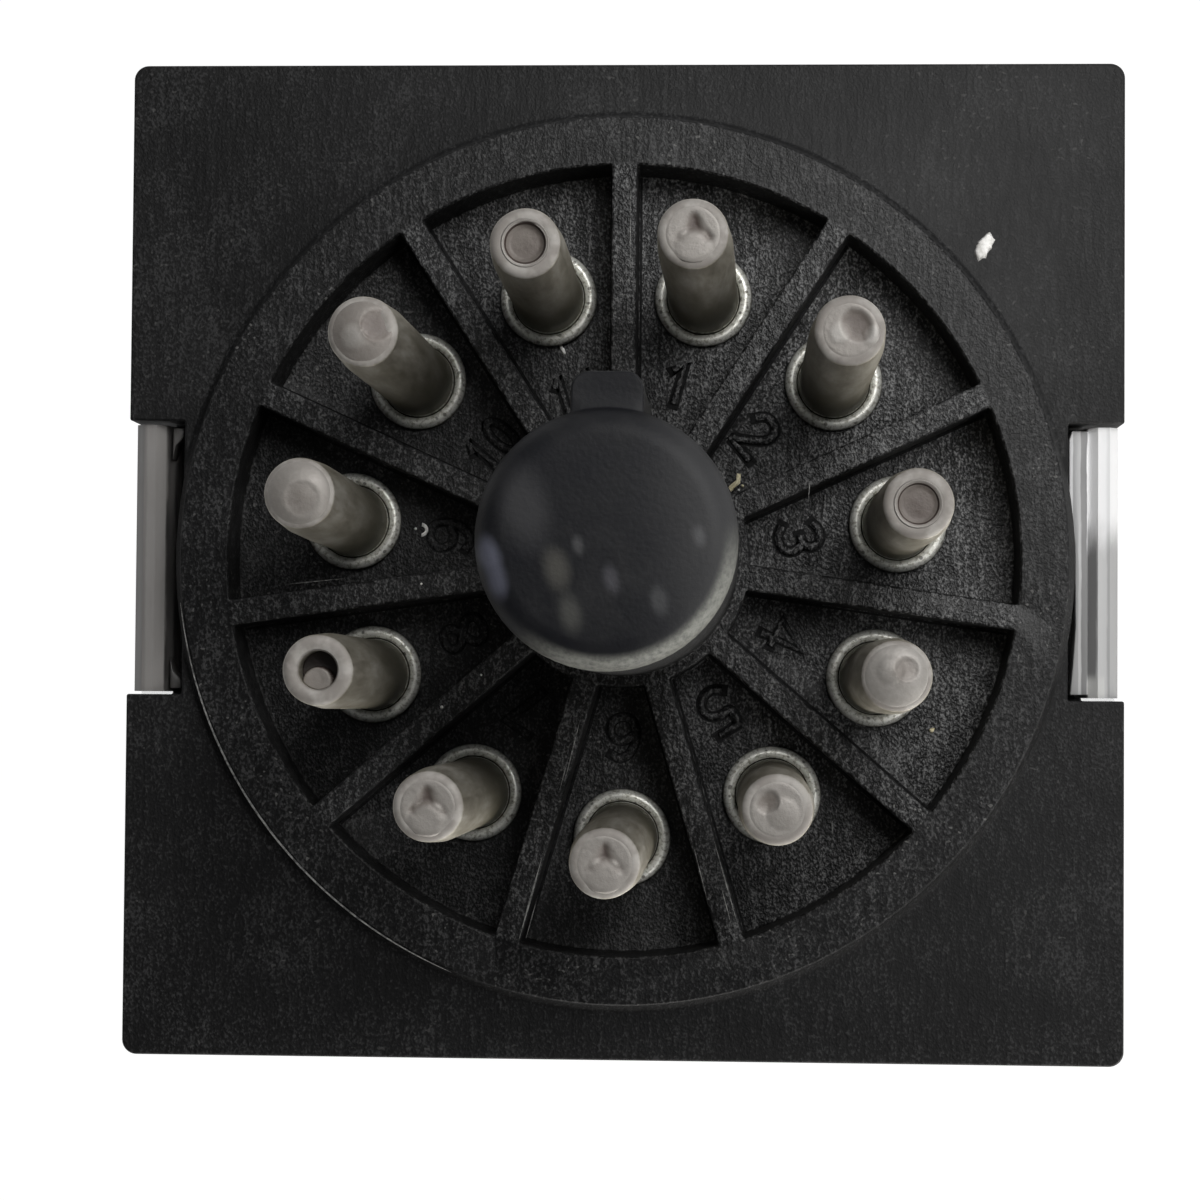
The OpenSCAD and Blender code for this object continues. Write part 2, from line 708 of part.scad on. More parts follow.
// The section of the armature at rest: the plate slopes away from the pole, and the tail
// stands parallel to the yoke's leg
module armature_outline() {
    slope = -pull_in_deg;
    end_y = coil_y + armature_w / 2;
    plate_top = pivot_z - pivot_gap;
    corner = [tail_in_y, about_pivot([tail_in_y, plate_top], slope)[1]];
    polygon(concat(
        [corner, about_pivot([end_y, plate_top], slope),
         about_pivot([end_y, plate_top - armature_t], slope)],
        arc(corner, armature_t, 270 + slope, 180),
        [[tail_y, tail_top], [tail_in_y, tail_top]]));
}

// The armature from below: straight sides, and a round front over the pole
module armature_plan() {
    translate([-armature_w / 2, tail_y - past]) square([armature_w, coil_y - tail_y + past]);
    translate([0, coil_y]) circle(armature_w / 2);
}

module armature() color("#96989a") difference() {
    tail_corner = 0.6;
    union() {
        intersection() {
            along_x(armature_w) armature_outline();
            linear_extrude(tail_top + past) armature_plan();
        }
        // The tail widens above the horns
        along_y(tail_in_y, armature_t) translate([0, (pivot_z + tail_start + tail_top) / 2])
            rounded_square(tail_w, tail_corner, tail_top - pivot_z - tail_start);
        spring_lug(tail_w / 2 - past, lower_hook, armature_t, -1);
    }
    rivet_holes();
}

module rivet_holes() {
    for (side = [-1, 1])
        translate([side * rivet_x, tail_in_y + past, (carrier_z + carrier_top) / 2])
            rotate([90, 0, 0]) cylinder(r = rivet_r + hole_gap, h = armature_t + carrier_d + 2 * past);
}

// The moulded carrier on the tail, with a slot for each leaf and a fin between the poles
module contact_carrier() color("#d8d2c2") difference() {
    end_wall = 1;
    chamfer = 0.8;
    fin_h = 4;
    // Plastic left beside, above and behind the windows
    window_side = 0.6;
    window_rim = 2.2;
    window_wall = 0.5;
    union() {
        along_x(2 * (pole_pitch + end_wall) + strip_w) polygon([
            [tail_y, carrier_z], [tail_y - carrier_d + chamfer, carrier_z],
            [tail_y - carrier_d, carrier_z + chamfer], [tail_y - carrier_d, carrier_top - chamfer],
            [tail_y - carrier_d + chamfer, carrier_top], [tail_y, carrier_top]]);
        for (side = [-1, 1])
            translate([side * pole_pitch / 2 - barrier_t / 2, tail_y - carrier_d + chamfer,
                       carrier_top - past])
                cube([barrier_t, carrier_d - 2 * chamfer, fin_h + past]);
    }
    slot_y = leaf_y - leaf_t / 2 - slot_gap;
    front_y = tail_y - carrier_d - past;
    for (x = [-pole_pitch, 0, pole_pitch]) {
        translate([x - strip_w / 2 - slot_gap, slot_y, carrier_z - past])
            cube([strip_w + 2 * slot_gap, leaf_t + 2 * slot_gap, carrier_h + 2 * past]);
        // A window in front of each leaf, with a thin wall left before it
        translate([x - strip_w / 2 + window_side, front_y, carrier_z + window_rim])
            cube([strip_w - 2 * window_side, slot_y - window_wall - front_y,
                  carrier_h - 2 * window_rim]);
    }
    rivet_holes();
}

module carrier_rivets() color("#b5b3ab") for (side = [-1, 1])
    translate([side * rivet_x, tail_in_y, (carrier_z + carrier_top) / 2]) rotate([90, 0, 0]) {
        long = armature_t + carrier_d;
        rotate_extrude() polygon(concat(
            [[0, 0], [rivet_r, 0], [rivet_r, long]],
            [for (a = [0:22.5:90]) [rivet_head_r * cos(a), long + rivet_head_h * sin(a)]]));
    }

// A leaf from its tag under the carrier to its end past the contact
module leaf_outline() {
    top = contact_z + strip_end;
    low = carrier_z - leaf_t;
    slot_w = 1;
    slot_l = leaf_free * 0.36;
    difference() {
        union() {
            translate([0, (top + low) / 2]) rounded_square(strip_w, strip_corner, top - low);
            translate([0, low]) rounded_square(tag_w, tag_corner, 2 * leaf_tag_rise);
        }
        translate([0, contact_z]) circle(shank_r + hole_gap);
        // A slot that softens the leaf between the carrier and the contact
        translate([0, (carrier_top + contact_z + slot_w) / 2])
            rounded_square(slot_w, slot_w * 0.45, slot_l);
    }
}

module moving_leaf(x) color("#c99a55")
    along_y(leaf_y + leaf_t / 2, leaf_t) translate([x, 0]) leaf_outline();

// A contact rivet along Y: the button's crowned face points to +Y before it is turned
module contact_rivet(thick, double = false) {
    crown = [for (i = [0:3])
        let (r = button_r * (1 - i / 3))
        [r, button_h - crown_sphere + sqrt(crown_sphere * crown_sphere - r * r)]];
    head_r = shank_r * 1.6;
    riveted_h = 0.35;
    back = double
        ? concat([for (i = [3:-1:0]) [crown[i][0], -thick - crown[i][1]]], [[button_r, -thick]])
        : [[0, -thick - riveted_h], [shank_r, -thick - riveted_h], [head_r, -thick]];
    rotate([-90, 0, 0]) rotate_extrude() polygon(concat(
        back, [[shank_r, -thick], [shank_r, 0], [button_r, 0]], crown));
}

module moving_contacts() color("#c9c7bf") for (x = [-1, 0, 1])
    translate([x * pole_pitch, leaf_y + leaf_t / 2, contact_z]) contact_rivet(leaf_t, true);

// ---- Fixed contacts ----

// A strip from its free end under the block to its solder tag on top of it
module strip_outline() {
    low = contact_z - strip_end;
    difference() {
        union() {
            translate([0, (low + foot_z) / 2]) rounded_square(strip_w, strip_corner, foot_z - low);
            translate([0, foot_z]) rounded_square(tag_w, tag_corner, 2 * tag_rise);
        }
        translate([0, contact_z]) circle(shank_r + hole_gap);
        translate([0, foot_z + tag_rise / 2]) circle(tag_hole_r);
    }
}

module fixed_strip(x, y) color("#c08f4e")
    along_y(y + strip_t, strip_t) translate([x, 0]) strip_outline();

module closed_strip(x) {
    fixed_strip(x, nc_face_y);
}

module open_strip(x) {
    fixed_strip(x, no_y);
}

module fixed_contacts() color("#c9c7bf") for (x = [-1, 0, 1]) {
    translate([x * pole_pitch, nc_face_y, contact_z]) rotate([0, 0, 180]) contact_rivet(strip_t);
    translate([x * pole_pitch, no_face_y, contact_z]) contact_rivet(strip_t);
}

// The moulded block that clamps the strips, with a barrier between neighbouring poles
module contact_block() color("#2a2624") difference() {
    corner = 0.6;
    chamfer = 1.5;
    recess_w = 2.6;
    barrier_in = nc_face_y - 0.3;
    low_z = block_z - barrier_l;
    union() {
        translate([0, (block_in_y + block_out_y) / 2, block_z]) linear_extrude(block_h)
            rounded_square(block_w, corner, block_in_y - block_out_y);
        for (side = [-1, 1])
            translate([side * pole_pitch / 2, 0, 0]) along_x(barrier_t) polygon([
                [block_out_y, block_z + past], [block_out_y, low_z + chamfer],
                [block_out_y + chamfer, low_z], [barrier_in - chamfer, low_z],
                [barrier_in, low_z + chamfer], [barrier_in, block_z + past]]);
    }
    for (x = [-pole_pitch, 0, pole_pitch], y = [nc_face_y, no_y])
        translate([x - strip_w / 2 - slot_gap, y - slot_gap, block_z - past])
            cube([strip_w + 2 * slot_gap, strip_t + 2 * slot_gap, block_h + 2 * past]);
    for (side = [-1, 1])
        translate([side * block_screw_x, block_screw_y, block_z - past])
            cylinder(d = screw_d + 2 * hole_gap, h = block_h + 2 * past);
    // Recess between the rows of strips, which keeps the mould's walls even
    translate([0, (nc_y + no_y) / 2, block_z - past])
        linear_extrude(past + block_h / 2)
            rounded_square(2 * pole_pitch + strip_w, corner, recess_w);
}

// ---- Screws ----

// A pan head screw with a cross recess, its head down and its thread along +Z
module screw(x, y, z, grip) {
    recess_l = head_d * 0.6;
    recess_w = 0.6;
    recess_h = head_h * 0.6;
    chamfer = 0.5;
    translate([x, y, z]) difference() {
        rotate_extrude() polygon([
            [0, -head_h], [head_d / 2 - chamfer, -head_h], [head_d / 2, chamfer - head_h],
            [head_d / 2, 0], [screw_d / 2, 0], [screw_d / 2, grip + thread_l - chamfer],
            [screw_d / 2 - chamfer, grip + thread_l], [0, grip + thread_l]]);
        for (a = [0, 90]) rotate(a)
            translate([-recess_l / 2, -recess_w / 2, -head_h - past])
                cube([recess_l, recess_w, recess_h + past]);
    }
}

module yoke_screws() color("#c2c0b8") for (side = [-1, 1])
    screw(side * foot_screw_x, foot_screw_y, foot_in_z, yoke_t);

module block_screws() color("#c2c0b8") for (side = [-1, 1])
    screw(side * block_screw_x, block_screw_y, block_z, block_h);

// ---- Wires ----

// A route with its last points added: a bend under a pin, then up its bore to the solder
function to_pin(route, n) =
    let (p = pin_xy(n), last = route[len(route) - 1], back = unit([last[0] - p[0], last[1] - p[1]]),
         low = pin_mouth - pin_bend - 0.2)
    concat(route, [for (q = [[1, 0], [0.3, 0.3], [0, 1], [0, 2]] * pin_bend)
        [p[0] + q[0] * back[0], p[1] + q[0] * back[1], low + q[1]]], [[p[0], p[1], solder_z]]);

wire_gap = 0.05;
pin_bend = 1;
// Height at which the leads cross the yoke's foot
cross_z = foot_z + 2;

module closed_leads() color("#7a2f2a") {
    start_y = nc_y + lead_r + wire_gap;
    for (side = [-1, 1]) {
        n = side > 0 ? 4 : 8;
        x = side * pole_pitch;
        wire(curve(to_pin(
            [[x, start_y, foot_z + 0.6], [x, start_y + 0.3, cross_z - 0.5],
             [x, start_y + 2.2, cross_z + 0.5]],
            n)), lead_r);
    }
    wire(curve(to_pin(
        [[0, start_y, foot_z + 0.6], [0.8, start_y + 0.5, cross_z - 0.4],
         [3.4, start_y + 0.5, cross_z + 0.3]],
        5)), lead_r);
}

module open_leads() color("#2f4d7a") {
    start_y = no_face_y + lead_r + wire_gap;
    for (side = [-1, 1]) {
        n = side > 0 ? 3 : 9;
        wire(curve(to_pin(
            [[side * pole_pitch, start_y, foot_z + 0.6],
             [side * (pole_pitch + 0.6), start_y + 0.6, cross_z],
             [side * (pole_pitch + 1.2), start_y + 2.6, cross_z + 0.4],
             [side * (pole_pitch + 2), start_y + 4.8, cross_z + 0.2],
             [side * (pole_pitch + 2.9), start_y + 8.2, cross_z - 0.2],
             [side * (pole_pitch + 2.9), start_y + 12, cross_z - 0.2],
             [side * (pole_pitch + 2), start_y + 13.4, cross_z + 0.2]],
            n)), lead_r);
    }
    wire(curve(to_pin(
        [[0, start_y, foot_z + 0.6], [-1.2, start_y + 0.6, cross_z - 0.2],
         [-3.6, start_y + 2.2, cross_z + 0.3]],
        7)), lead_r);
}

module coil_leads() color("#d2b13a") for (side = [-1, 1]) {
    n = side > 0 ? 2 : 10;
    start_y = terminal_y - terminal_w / 2 - lead_r - wire_gap;
    wire(curve(to_pin(
        [[side * terminal_x, start_y, foot_in_z + 1],
         [side * terminal_x, start_y - 0.2, cross_z - 0.8],
         [side * (terminal_x + 0.1), start_y - 2, cross_z + 0.3]],
        n)), lead_r);
}

// Where a braid leaves the inner face of its leaf, above the carrier
braid_y = leaf_y + leaf_t / 2 + braid_r + wire_gap;
braid_z = carrier_top + 2;
// Where the braids pass between the contact block and the yoke, and beside the cover's wall
pass_y = (block_in_y + yoke_y) / 2;
pass_x = cover_in_w / 2 - 2.05;

module side_braid(side) color("#b4713e") {
    n = side > 0 ? 1 : 11;
    wire(curve(to_pin(
        [[side * pole_pitch, braid_y, braid_z],
         [side * (pass_x - 3.2), braid_y + 0.1, braid_z + 1.3],
         [side * (pass_x - 0.8), braid_y + 0.6, braid_z + 3.5],
         [side * pass_x, braid_y + 2, braid_z + 7],
         [side * (pass_x - 0.2), pass_y, braid_z + 15],
         [side * (pass_x - 0.6), pass_y + 0.8, foot_z - 2.6],
         [side * (pass_x - 2.2), pass_y + 3.4, foot_z + 0.3],
         [side * (pass_x - 4.2), pass_y + 6.2, foot_z + 1],
         [side * 6, coil_y - 1, foot_z + 1],
         [side * 3.8, coil_y + 2.4, foot_z + 1.5]],
        n)), braid_r);
}

module middle_braid() color("#b4713e") {
    x = -pole_pitch / 2;
    wire(curve(to_pin(
        [[0, braid_y, braid_z], [-1.6, braid_y + 0.4, braid_z + 1.5],
         [-3.6, braid_y + 1.4, braid_z + 4], [x, pass_y - 0.1, braid_z + 7.5],
         [x, pass_y, braid_z + 13], [x, pass_y, foot_z - 2.6],
         [x + 0.3, pass_y - 0.3, foot_z + 0.8], [-2.2, pass_y - 1.5, cross_z + 0.2]],
        6)), braid_r);
}

// The tension spring between the lugs of the armature and the yoke. Its end turns are bent up
// into hooks, which pass through the lugs in the YZ plane
module return_spring() color("#bdbdb8") {
    span = upper_hook - lower_hook;
    axis = unit(span);
    across = [1, 0, 0];
    out = cross(axis, across);
    steps = 10;
    loop_steps = 8;
    lead_in = spring_r + 0.5;
    coil_l = norm(span) - 2 * lead_in;
    coil_steps = (spring_turns + 0.5) * steps;
    // The loops start and end a little open, on the side towards the coils
    lower_loop = [for (i = [0:loop_steps]) let (a = 120 + 300 * i / loop_steps)
        lower_hook + spring_r * [0, cos(a), sin(a)]];
    upper_loop = [for (i = [0:loop_steps]) let (a = 240 - 300 * i / loop_steps)
        upper_hook + spring_r * [0, cos(a), sin(a)]];
    coils = [for (i = [0:coil_steps]) let (a = 360 * i / steps)
        lower_hook + axis * (lead_in + coil_l * i / coil_steps)
            - spring_r * (out * cos(a) + across * sin(a))];
    wire(concat(lower_loop, coils, upper_loop), spring_wire / 2);
}

// ---- Nodes ----

base();
cover();
for (n = [1:pin_count]) pin(n);
solder_joints();
yoke();
core();
bobbin();
winding();
coil_tape();
coil_terminals();
coil_leads();
armature();
contact_carrier();
carrier_rivets();
moving_leaf(-pole_pitch);  // moving_leaf_left
moving_leaf(0);  // moving_leaf_middle
moving_leaf(pole_pitch);  // moving_leaf_right
moving_contacts();
contact_block();
closed_strip(-pole_pitch);  // closed_strip_left
closed_strip(0);  // closed_strip_middle
closed_strip(pole_pitch);  // closed_strip_right
open_strip(-pole_pitch);  // open_strip_left
open_strip(0);  // open_strip_middle
open_strip(pole_pitch);  // open_strip_right
fixed_contacts();
closed_leads();
open_leads();
side_braid(-1);  // braid_left
middle_braid();  // braid_middle
side_braid(1);  // braid_right
return_spring();
yoke_screws();
block_screws();
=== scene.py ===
"""Dresses the plug-in relay: moulded base with eleven soldered pins, clear cover, and the works inside."""
import bmesh
import bpy
import math
import random
from mathutils import Matrix, Vector


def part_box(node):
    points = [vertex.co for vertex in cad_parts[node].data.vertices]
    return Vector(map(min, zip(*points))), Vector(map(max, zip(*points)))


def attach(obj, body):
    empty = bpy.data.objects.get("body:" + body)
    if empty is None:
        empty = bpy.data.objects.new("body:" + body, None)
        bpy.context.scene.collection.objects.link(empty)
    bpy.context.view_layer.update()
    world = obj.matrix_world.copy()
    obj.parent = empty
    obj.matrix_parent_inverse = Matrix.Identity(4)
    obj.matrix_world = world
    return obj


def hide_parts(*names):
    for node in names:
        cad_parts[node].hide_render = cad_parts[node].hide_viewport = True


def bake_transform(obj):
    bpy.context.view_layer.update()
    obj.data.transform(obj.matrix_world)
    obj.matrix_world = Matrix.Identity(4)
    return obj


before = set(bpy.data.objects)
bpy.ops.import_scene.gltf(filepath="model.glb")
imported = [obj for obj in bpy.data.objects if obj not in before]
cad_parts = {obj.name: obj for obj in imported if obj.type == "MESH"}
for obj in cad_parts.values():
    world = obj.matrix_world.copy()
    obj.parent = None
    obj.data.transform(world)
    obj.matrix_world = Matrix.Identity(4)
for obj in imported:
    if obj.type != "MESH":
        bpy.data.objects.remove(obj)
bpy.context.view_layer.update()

MM = 0.001
PINS = 11
STEP = 2 * math.pi / PINS
HOUSING = "housing"


# ---- Shader maths ----

class Value:
    """A number socket that can be used in Python expressions."""

    def __init__(self, finish, socket):
        self.finish = finish
        self.socket = socket

    def maths(self, operation, *others, clamp=False):
        return self.finish.node("Math", {"operation": operation, "use_clamp": clamp}, [self, *others])

    def __add__(self, other): return self.maths("ADD", other)
    def __radd__(self, other): return self.maths("ADD", other)
    def __sub__(self, other): return self.maths("SUBTRACT", other)
    def __rsub__(self, other): return self.finish.node("Math", {"operation": "SUBTRACT"}, [other, self])
    def __mul__(self, other): return self.maths("MULTIPLY", other)
    def __rmul__(self, other): return self.maths("MULTIPLY", other)
    def __truediv__(self, other): return self.maths("DIVIDE", other)
    def __pow__(self, other): return self.maths("POWER", other)
    def __gt__(self, other): return self.maths("GREATER_THAN", other)

    def rise(self, low, high):
        """0 below low, 1 above high, with soft ends."""
        return self.finish.node("MapRange", {"interpolation_type": "SMOOTHSTEP"},
                                {"Value": self, "From Min": low, "From Max": high})

    def fall(self, low, high):
        return 1 - self.rise(low, high)

    def near(self, centre, half, soft):
        """1 within half of centre, 0 further out than half + soft."""
        return (self - centre).maths("ABSOLUTE").fall(half, half + soft)

    def clip(self):
        return self.maths("MULTIPLY", 1, clamp=True)


class Finish:
    """One material: a principled shader, and the nodes that feed it."""

    def __init__(self, name, colour, roughness, metallic=0.0, **constants):
        self.material = bpy.data.materials.new(name)
        self.material.use_nodes = True
        self.tree = self.material.node_tree
        self.shader = self.tree.nodes["Principled BSDF"]
        self.shader.inputs["Base Color"].default_value = (*colour, 1)
        self.shader.inputs["Roughness"].default_value = roughness
        self.shader.inputs["Metallic"].default_value = metallic
        for socket, value in constants.items():
            self.shader.inputs[socket.replace("_", " ").title().replace("Ior", "IOR")].default_value = value
        self.millimetres = None

    def node(self, kind, settings=None, inputs=None, output=0):
        made = self.tree.nodes.new("ShaderNode" + kind)
        for key, value in (settings or {}).items():
            if key == "stops":
                ramp = made.color_ramp
                while len(ramp.elements) < len(value):
                    ramp.elements.new(0.5)
                for element, (place, tone) in zip(ramp.elements, value):
                    element.position = place
                    element.color = (*tone, 1)
            else:
                setattr(made, key, value)
        pairs = inputs.items() if isinstance(inputs, dict) else enumerate(inputs or [])
        for key, value in pairs:
            self.feed(made.inputs[key], value)
        return Value(self, made.outputs[output])

    def feed(self, socket, value):
        if isinstance(value, Value):
            self.tree.links.new(value.socket, socket)
        elif isinstance(value, tuple) and len(value) == 3 and socket.type == "RGBA":
            socket.default_value = (*value, 1)
        else:
            socket.default_value = value

    def drive(self, **sockets):
        """Feeds the shader's own sockets: drive(base_color=..., roughness=...)."""
        for key, value in sockets.items():
            self.feed(self.shader.inputs[key.replace("_", " ").title()], value)

    # places, in millimetres

    def place(self):
        if self.millimetres is None:
            where = self.node("TexCoord", output="Object")
            self.millimetres = self.node("VectorMath", {"operation": "SCALE"}, {0: where, "Scale": 1000.0})
        return self.millimetres

    def axes(self):
        split = self.node("SeparateXYZ", None, [self.place()])
        node = split.socket.node
        return [Value(self, node.outputs[i]) for i in range(3)]

    def upward(self):
        """1 on faces that look up, 0 on walls."""
        split = self.node("SeparateXYZ", None, [self.node("NewGeometry", output="Normal")])
        return Value(self, split.socket.node.outputs[2]).rise(0.45, 0.8)

    def stretched(self, scale=(1, 1, 1), turn=(0, 0, 0), shift=(0, 0, 0)):
        return self.node("Mapping", None,
                         {"Vector": self.place(), "Scale": scale, "Rotation": turn, "Location": shift})

    # patterns

    def noise(self, per_mm, detail=3.0, roughness=0.55, **place):
        vector = self.stretched(**place) if place else self.place()
        return self.node("TexNoise", None,
                         {"Vector": vector, "Scale": per_mm, "Detail": detail, "Roughness": roughness})

    def specks(self, per_mm, size, share=1.0, **place):
        """Round marks in random cells: size is the radius as a share of a cell."""
        vector = self.stretched(**place) if place else self.place()
        cell = self.node("TexVoronoi", None, {"Vector": vector, "Scale": per_mm, "Randomness": 1.0})
        pick = Value(self, cell.socket.node.outputs["Color"])
        chance = self.node("SeparateColor", None, [pick])
        return cell.fall(size * 0.6, size) * (chance > 1 - share)

    def mix(self, share, first, second):
        made = self.tree.nodes.new("ShaderNodeMix")
        made.data_type = "RGBA"
        for key, value in ((0, share), (6, first), (7, second)):
            self.feed(made.inputs[key], value)
        return Value(self, made.outputs[2])

    def ramp(self, value, *stops):
        return self.node("ValToRGB", {"stops": stops}, [value])

    def bump(self, height, depth, strength=1.0):
        """height from 0 to 1, depth in millimetres."""
        return self.node("Bump", None, {"Height": height, "Distance": depth * MM, "Strength": strength})

    def attribute(self, name):
        return self.node("Attribute", {"attribute_name": name}, output="Fac")


def join(one, output, other, socket):
    """Links an output of one node to an input of another."""
    one.id_data.links.new(one.outputs[output], other.inputs[socket])


def frame_z(node, end):
    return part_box(node)[end].z / MM


def pin_angle(n):
    return math.pi / 2 - (n - 0.5) * STEP


def pin_centre(n):
    low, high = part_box("pin_%d" % n)
    return (low.x + high.x) / 2 / MM, (low.y + high.y) / 2 / MM


# ---- Sizes in millimetres: some read from the CAD parts, the others given ----

PIN_TOP = frame_z("pin_1", 1)
PIN_MOUTH = frame_z("pin_1", 0)
FLOOR_Z = 50.8
FLANGE_Z = 52.5
RING_Z = 53.1
PIN_R = 1.18
BORE_R = 0.59
COLLAR_R = 1.65
COLLAR_H = 0.5
FOOT_R = 1.6  # of the riveted end inside
FOOT_H = 0.4
PIN_CIRCLE = math.hypot(*pin_centre(1))
SPIGOT_TOP = frame_z("base", 1)
RING_R = 15.1
SECTOR_R = 13.45
RIB_HALF = 0.43
HUB_R = 4.3

# ---- Finishes ----


def ring_side(f, far, z, up):
    """1 on the sloping outer side of the raised ring."""
    return far.fall((RING_R + 0.28) ** 2, (RING_R + 0.32) ** 2) * z.rise(FLANGE_Z - 0.02, FLANGE_Z + 0.02) * (1 - up)


def moulded_black():
    """Black moulding: spark-textured skin, coarser inside the raised ring, with drawn streaks; pale flecks and specks
    that are partly painted glints; painted light and sheen stronger towards the upper right.
    """
    f = Finish("base_moulded", (0.016, 0.016, 0.017), 0.4, specular_ior_level=0.25)
    x, y, z = f.axes()
    up = f.upward()
    far = x * x + y * y
    ring = far.fall((RING_R - 0.1) ** 2, (RING_R + 0.15) ** 2)
    core = far.fall((SECTOR_R - 0.1) ** 2, (SECTOR_R + 0.1) ** 2) * up
    # painted light: rises from left to right, so the floors' pale speckle grows towards the lit side; it also lowers
    # the floors' roughness there
    painted_light_side = (x * 0.95 + y * 0.3).rise(-7, 7) * 0.9 + 0.1
    low = core * z.fall(FLOOR_Z + 0.3, FLANGE_Z) * painted_light_side
    # painted light: 0 at the lower left, 1 at the upper right, where the floors get more pale speckle
    light_slope = (x * 0.7 + y * 0.75).rise(-4, 9)
    # painted sheen: the rib tops and the hub get more pale speckle, least towards the upper right
    crest = core * z.rise(FLANGE_Z - 0.9, FLANGE_Z - 0.3) * (0.24 - light_slope * 0.16)
    # painted sheen: the ring's sloping outer side is made lighter towards the top and right
    foot = far.rise((RING_R + 0.02) ** 2, (RING_R + 0.06) ** 2) * ring_side(f, far, z, up) * (y + x * 0.3).rise(0, 8)
    grain = f.noise(11.5, 1.0, 0.7, scale=(1, 0.72, 1), turn=(0, 0, 0.14))
    streak = f.noise(6.0, 0.0, 0.6, scale=(1, 0.2, 0.3), turn=(0, 0, 0.14))
    cloud = f.noise(0.3, 1.0, 0.6)
    # painted glints: pale flecks standing in for the sparkle of the grain, clustered by the cloud
    fleck = f.noise(6.5, 0.0, 0.5, shift=(9, 4, 2)).rise(0.73, 0.79) * cloud.rise(0.4, 0.62)
    tone = grain * 0.8 + streak * 0.2 + cloud * 0.3 - 0.15
    colour = f.ramp(tone, (0.4, (0.0008, 0.0008, 0.001)), (0.52, (0.003, 0.003, 0.0032)),
                    (0.68, (0.022, 0.022, 0.0225)))
    # pale specks: partly dust, partly painted glints of the grain
    dust_and_glints = f.ramp(grain * 0.8 + streak * 0.25, (0.44, (0.004, 0.004, 0.0042)), (0.55, (0.03, 0.03, 0.031)),
                  (0.7, (0.17, 0.17, 0.17)))
    # pale speckle on the ring, and on the floors and rib tops with the painted light and sheen above
    colour = f.mix(ring * 0.13 + core * (light_slope * 0.32 + 0.05) + crest + low * 0.42, colour, dust_and_glints)
    colour = f.mix(foot, colour, (0.035, 0.035, 0.035))
    colour = f.mix(fleck * (ring * 0.4 + 0.2), colour, (0.15, 0.148, 0.143))
    height = grain * (core * 0.6 + 0.4) + streak * 0.25
    rough = 0.62 + grain * 0.3 - up * 0.2 - ring * up * 0.12 + core * (0.12 - painted_light_side * 0.16)
    f.drive(base_color=colour, roughness=rough, normal=f.bump(height, 0.05, 0.8))
    return f.material


def shade_line():
    """Painted shade: the dark band at the foot of a raised stroke or rib, where shade falls."""
    f = Finish("shade_line", (0.003, 0.003, 0.0035), 0.6, specular_ior_level=0.15)
    grain = f.noise(7.0, 2.0)
    colour = f.ramp(grain, (0.4, (0.0015, 0.0015, 0.0017)), (0.65, (0.01, 0.01, 0.0105)))
    f.drive(base_color=colour, roughness=0.6 + grain * 0.2, normal=f.bump(grain, 0.03, 0.5))
    return f.material


REFLECTION_PATCHES = (  # painted reflections: centre x, y, half width, softness and tone of each pale patch on the spigot's end
    (-3.5, -0.5, 0.2, 0.6, (0.1, 0.104, 0.135)), (-3.25, -1.3, 0.18, 0.6, (0.085, 0.088, 0.115)),
    (-1.4, -0.95, 0.1, 0.8, (0.055, 0.053, 0.047)), (-2.4, 0.9, 0.3, 1.4, (0.03, 0.03, 0.032)),
    (-0.8, -0.2, 0.05, 0.4, (0.05, 0.05, 0.052)), (0.2, -1.25, 0.1, 0.55, (0.05, 0.049, 0.056)),
    (2.8, 0.05, 0.05, 0.4, (0.07, 0.07, 0.073)), (1.6, -1.8, 0.05, 0.5, (0.045, 0.046, 0.048)),
    (-1.0, -2.2, 0.15, 0.7, (0.05, 0.05, 0.046)))


def chalk(name, dark, light):
    """A chip, crumb or scratch: chalky and uneven."""
    f = Finish(name, light, 0.7, specular_ior_level=0.3)
    grain = f.noise(5.0, 3.0, 0.65)
    f.drive(base_color=f.ramp(grain, (0.36, dark), (0.6, light)), roughness=0.6 + grain * 0.3,
            normal=f.bump(grain, 0.04, 0.6))
    return f.material


def spigot_black():
    """The spigot's satin end: bluish black, with pale painted reflections, a painted lighter right side, and a pale rim
    at the lower right that is partly wear, partly painted highlight.
    """
    f = Finish("spigot_satin", (0.008, 0.0083, 0.01), 0.5, specular_ior_level=0.2)
    x, y, z = f.axes()
    patch = f.noise(0.34, 3.0, 0.6, shift=(3, 1, 0))
    grain = f.noise(6.0, 3.0)
    colour = f.ramp(patch * 0.85 + grain * 0.15, (0.36, (0.002, 0.0023, 0.0042)), (0.52, (0.0045, 0.0048, 0.0062)),
                    (0.72, (0.014, 0.014, 0.015)))
    # painted light: the spigot's end made lighter towards the right
    colour = f.mix((x + patch).rise(0.9, 4.2) * 0.5, colour, (0.055, 0.055, 0.056))
    # painted reflections, one pale patch each
    for cx, cy, half, soft, tone in REFLECTION_PATCHES:
        across, along = (x - cx) * 1.5, (y - cy) + (x - cx) * 0.4
        reach = (across * across + along * along) ** 0.5 + (patch - 0.5) * 0.8
        colour = f.mix(reach.fall(half, half + soft) * 0.8, colour, tone)
    # pale band on the rounded rim at the lower right: partly wear, partly painted highlight
    worn = (x * x + y * y).rise(3.38 ** 2, 3.72 ** 2) * (x * 0.45 - y * 0.9).rise(1.0, 3.2) * z.rise(64.3, 65.05)
    colour = f.mix(worn * (grain * 1.5 + patch * 0.6 - 0.2).clip(), colour, (0.18, 0.182, 0.164))
    f.drive(base_color=colour, roughness=0.46 + patch * 0.12 + grain * 0.08, normal=f.bump(grain, 0.03, 0.4))
    return f.material


